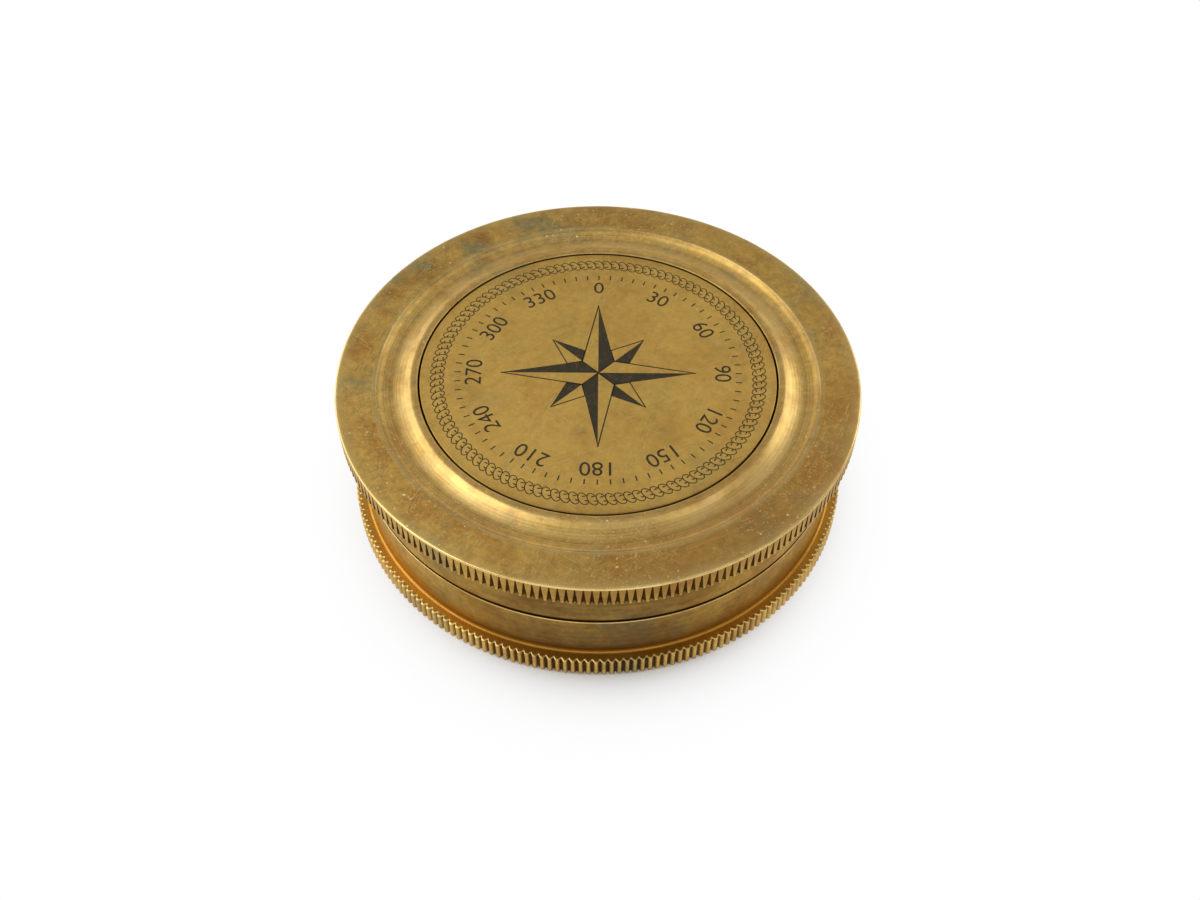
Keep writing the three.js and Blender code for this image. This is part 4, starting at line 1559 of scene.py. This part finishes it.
class COMPASS_OT_degree_ring(bpy.types.Operator):
    """Sloping ring with degree ticks, which carries the glass"""

    bl_idname = "compass.degree_ring"
    bl_label = "Degree Ring"

    def execute(self, context):
        inner = context.scene.compass_inside
        foot = INSERT_RADIUS - inner.slope_foot
        crown = INSERT_RADIUS - inner.slope_crown
        step = DIAL_TOP + inner.slope_step
        broken = 0.1 * MM
        look = PieceLook("case", ("degree_ring",), "turned_brass", fresh_brass(context))
        turned_piece(context, "sloped_degree_ring", [
            Corner(foot, DIAL_TOP, grime=0.4),
            Corner(INSERT_RADIUS, DIAL_TOP, broken),
            Corner(INSERT_RADIUS, GLASS_BOTTOM, broken, steps=3),
            Corner(crown, GLASS_BOTTOM, broken, wear=0.3),
            Corner(foot, step, broken, wear=0.2, steps=6),
        ], look, closed=True)
        slope = math.atan2(GLASS_BOTTOM - step, crown - foot)
        run = math.hypot(GLASS_BOTTOM - step, crown - foot)
        tick = tick_mark(0.5 * run, 0.28 * run, inner.slope_line, *inlay(0.0))
        middle = Vector((0, (foot + crown) / 2, (step + GLASS_BOTTOM) / 2))
        tick.transform(Matrix.Translation(middle) @ Matrix.Rotation(slope, 4, "X"))
        line = PieceLook("case", (), "turned_brass", engraving_fill(context))
        ring_of(context, "degree_ticks", tick, inner.slope_ticks, line)
        return {"FINISHED"}


class COMPASS_OT_glass(bpy.types.Operator):
    """Flat glass and the split ring that holds it"""

    bl_idname = "compass.glass"
    bl_label = "Glass"

    def execute(self, context):
        sizes = context.scene.compass_inside
        broken = 0.12 * MM
        glass = PieceLook("case", ("cover_glass",), "clear_glass", clear_glass(context))
        turned_piece(context, "flat_glass", [
            Corner(0.0, GLASS_BOTTOM),
            Corner(GLASS_RADIUS - 3 * broken, GLASS_BOTTOM, steps=3),
            Corner(GLASS_RADIUS, GLASS_BOTTOM, broken, steps=2),
            Corner(GLASS_RADIUS, GLASS_TOP, broken),
            Corner(GLASS_RADIUS - 3 * broken, GLASS_TOP, steps=2),
            Corner(0.0, GLASS_TOP, steps=3),
        ], glass)
        inner = SPLIT_RING_RADIUS - sizes.split_width
        half_opening = sizes.split_opening / SPLIT_RING_RADIUS
        turns = np.linspace(math.pi / 2 + half_opening, 5 * math.pi / 2 - half_opening, FINE_COLUMNS)
        rows = section([
            Corner(inner, SPLIT_RING_BOTTOM, broken),
            Corner(SPLIT_RING_RADIUS, SPLIT_RING_BOTTOM, broken),
            Corner(SPLIT_RING_RADIUS, SPLIT_RING_TOP, broken),
            Corner(inner, SPLIT_RING_TOP, broken, wear=0.4),
        ])
        points = [(row[0] * math.cos(t), row[0] * math.sin(t), row[1]) for t in turns for row in rows]
        loops = np.arange(len(points)).reshape(len(turns), -1).tolist()
        faces = [loops[0], loops[-1][::-1]]
        for one, other in zip(loops, loops[1:]):
            faces.extend(strip(one, other))
        mesh = new_mesh("split_ring", points, faces)
        for number, mark in enumerate(MARKS, 2):
            set_marks(mesh, mark, [row[number] for _ in turns for row in rows])
        brass = PieceLook("case", ("glass_snap_ring",), "turned_brass", fresh_brass(context))
        dressed(context, "split_ring", mesh, brass)
        return {"FINISHED"}


class COMPASS_OT_needle(bpy.types.Operator):
    """Steel needle blade with its brass hub and jewel"""

    bl_idname = "compass.needle"
    bl_label = "Needle"

    def execute(self, context):
        inner = context.scene.compass_inside
        gap = context.scene.compass_case.fit_gap
        seat = JEWEL_RADIUS + gap
        hub = inner.hub
        broken = 0.05 * MM
        brass = PieceLook("needle", ("needle_cap",), "turned_brass", fresh_brass(context))
        turned_piece(context, "needle_hub", [
            Corner(0.0, JEWEL_TOP),
            Corner(seat, JEWEL_TOP),
            Corner(seat, JEWEL_BOTTOM, broken),
            Corner(FLANGE_RADIUS, CAP_BOTTOM, broken, wear=0.3),
            Corner(FLANGE_RADIUS, BLADE_LOW.z, broken, wear=0.3),
            Corner(hub, BLADE_LOW.z, grime=0.4),
            Corner(hub, BLADE_HIGH.z, grime=0.3),
            *curve((hub, BLADE_HIGH.z), (hub, CAP_TOP), (0.0, CAP_TOP), wear=0.2),
        ], brass, SMALL_COLUMNS)
        ruby = PieceLook("needle", ("jewel_bearing",), "jewel", jewel_red(context))
        turned_piece(context, "jewel_cup", [
            Corner(0.0, JEWEL_BOTTOM + inner.socket_depth),
            Corner(inner.socket_mouth, JEWEL_BOTTOM, broken, steps=3),
            Corner(JEWEL_RADIUS, JEWEL_BOTTOM, broken),
            Corner(JEWEL_RADIUS, JEWEL_TOP, broken),
            Corner(0.0, JEWEL_TOP, steps=2),
        ], ruby, SMALL_COLUMNS)
        self.make_blade(context, inner, hub + gap)
        return {"FINISHED"}

    def make_blade(self, context, sizes, eye):
        """Lozenge blade with slightly hollow sides and an eye for the hub."""
        bevel = sizes.blade_bevel
        half = BLADE_HIGH.x
        reach = BLADE_HIGH.y
        waist = (sizes.blade_hollow * half, reach / 2)
        right = [tuple(point) for point in bend((half, 0.0), waist, (0.0, reach), BLADE_STEPS)]
        left = [(-x, y) for x, y in right[::-1][1:]]
        lower = [(-x, -y) for x, y in (right + left)[1:-1]]
        ring = [(eye * math.cos(a), eye * math.sin(a)) for a in even_columns(SMALL_COLUMNS)]
        outline = bpy.data.curves.new("blade", "CURVE")
        outline.dimensions = "2D"
        outline.fill_mode = "BOTH"
        outline.extrude = (BLADE_HIGH.z - BLADE_LOW.z) / 2 - bevel
        outline.bevel_depth = bevel
        outline.bevel_resolution = 2
        outline.offset = -bevel
        for path in (right + left + lower, ring):
            spline = outline.splines.new("POLY")
            spline.points.add(len(path) - 1)
            for point, (x, y) in zip(spline.points, path):
                point.co = (x, y, 0.0, 1.0)
            spline.use_cyclic_u = True
        holder = new_object(context, "blade", outline)
        mesh = evaluated_mesh(context, holder)
        bpy.data.objects.remove(holder)
        mesh.transform(Matrix.Translation((0, 0, (BLADE_LOW.z + BLADE_HIGH.z) / 2)))
        steel = PieceLook("needle", ("needle_blade",), "blue_steel", needle_steel(context))
        dressed(context, "lozenge_needle", joined("lozenge_needle", [mesh]), steel)


class COMPASS_OT_stage(bpy.types.Operator):
    """White table, soft light and the camera of the product view"""

    bl_idname = "compass.stage"
    bl_label = "Stage"

    def execute(self, context):
        studio = context.scene.compass_studio
        context.scene.view_settings.view_transform = "Standard"
        self.make_table(context)
        self.make_world(context, studio)
        for lamp in LAMPS:
            self.make_softbox(context, lamp)
        self.make_camera(context, studio)
        return {"FINISHED"}

    def make_table(self, context):
        """White table top that curves up at its far edge, open under the foot and clear from below."""
        low = UNDERSIDE - TABLE_DROP
        rows = section([
            Corner(FOOT_RADIUS - 2 * MM, low),
            Corner(FOOT_RADIUS + 60 * MM, low),
            Corner(TABLE_FLAT, low, steps=6),
            *curve((TABLE_FLAT, low), (TABLE_EDGE, low), (TABLE_EDGE, TABLE_RISE)),
        ])
        mesh = turned_mesh("table", [(rows, even_columns(TABLE_COLUMNS))])
        mesh.flip_normals()
        mesh.shade_smooth()
        table = new_object(context, "table", mesh)
        mesh.materials.append(white_table(context))

    def make_world(self, context, studio):
        """Even pale light all round."""
        world = bpy.data.worlds.new("pale_room")
        context.scene.world = world
        world.use_nodes = True
        background = world.node_tree.nodes["Background"]
        background.inputs["Color"].default_value = (1.0, 1.0, 1.0, 1.0)
        background.inputs["Strength"].default_value = studio.ambient

    def make_softbox(self, context, lamp):
        """Rectangular lamp that faces the compass, as bright as its level all over."""
        light = bpy.data.lights.new(lamp.name, "AREA")
        light.shape = "RECTANGLE"
        light.size = lamp.width
        light.size_y = lamp.depth
        light.energy = lamp.level * math.pi * lamp.width * lamp.depth
        holder = new_object(context, lamp.name, light)
        turn = math.radians(lamp.azimuth)
        rise = math.radians(lamp.elevation)
        away = Vector((math.cos(turn) * math.cos(rise), math.sin(turn) * math.cos(rise), math.sin(rise)))
        holder.location = away * lamp.distance
        holder.rotation_euler = away.to_track_quat("Z", "Y").to_euler()

    def make_camera(self, context, studio):
        """Camera in front of the compass, looking down on it."""
        data = bpy.data.cameras.new("product_view")
        data.sensor_fit = "HORIZONTAL"
        data.sensor_width = studio.sensor
        data.lens = studio.lens
        data.clip_start = 5 * MM
        camera = new_object(context, "product_view", data)
        tilt = Matrix.Rotation(math.pi / 2 - studio.elevation, 4, "X")
        roll = Matrix.Rotation(studio.roll, 4, "Z")
        lid_centre = Vector((0, 0, LID_TOP))
        seen_at = Vector((studio.lid_right, studio.lid_up, -studio.distance))
        camera.matrix_world = Matrix.Translation(lid_centre - tilt @ seen_at) @ tilt @ roll
        context.scene.camera = camera


PIECES = (
    COMPASS_OT_lid,
    COMPASS_OT_disc,
    COMPASS_OT_lining,
    COMPASS_OT_case,
    COMPASS_OT_dial,
    COMPASS_OT_screws,
    COMPASS_OT_pivot,
    COMPASS_OT_degree_ring,
    COMPASS_OT_glass,
    COMPASS_OT_needle,
    COMPASS_OT_stage,
)

SETTINGS = {
    "compass_lid": LidSizes,
    "compass_case": CaseSizes,
    "compass_inside": InsideSizes,
    "compass_engraving": EngravingSizes,
    "compass_finish": BrassFinish,
    "compass_studio": StudioSettings,
}


class COMPASS_PT_pieces(bpy.types.Panel):
    """Pieces and settings of the compass"""

    bl_idname = "COMPASS_PT_pieces"
    bl_label = "Pocket Compass"
    bl_space_type = "VIEW_3D"
    bl_region_type = "UI"
    bl_category = "Compass"

    def draw(self, context):
        layout = self.layout
        for piece in PIECES:
            layout.operator(piece.bl_idname)
        for name, group in SETTINGS.items():
            box = layout.box()
            box.label(text=group.__doc__)
            for setting in group.__annotations__:
                box.prop(getattr(context.scene, name), setting)


def register():
    """Registers the settings, the pieces' operators and the panel."""
    for name, group in SETTINGS.items():
        bpy.utils.register_class(group)
        setattr(bpy.types.Scene, name, PointerProperty(type=group))
    for piece in (*PIECES, COMPASS_PT_pieces):
        bpy.utils.register_class(piece)


def unregister():
    """Takes away what register added."""
    for piece in reversed((*PIECES, COMPASS_PT_pieces)):
        bpy.utils.unregister_class(piece)
    for name, group in SETTINGS.items():
        delattr(bpy.types.Scene, name)
        bpy.utils.unregister_class(group)


def main():
    register()
    bpy.ops.compass.lid()
    bpy.ops.compass.disc()
    bpy.ops.compass.lining()
    bpy.ops.compass.case()
    bpy.ops.compass.dial()
    bpy.ops.compass.screws()
    bpy.ops.compass.pivot()
    bpy.ops.compass.degree_ring()
    bpy.ops.compass.glass()
    bpy.ops.compass.needle()
    bpy.ops.compass.stage()


if __name__ == "__main__":
    main()
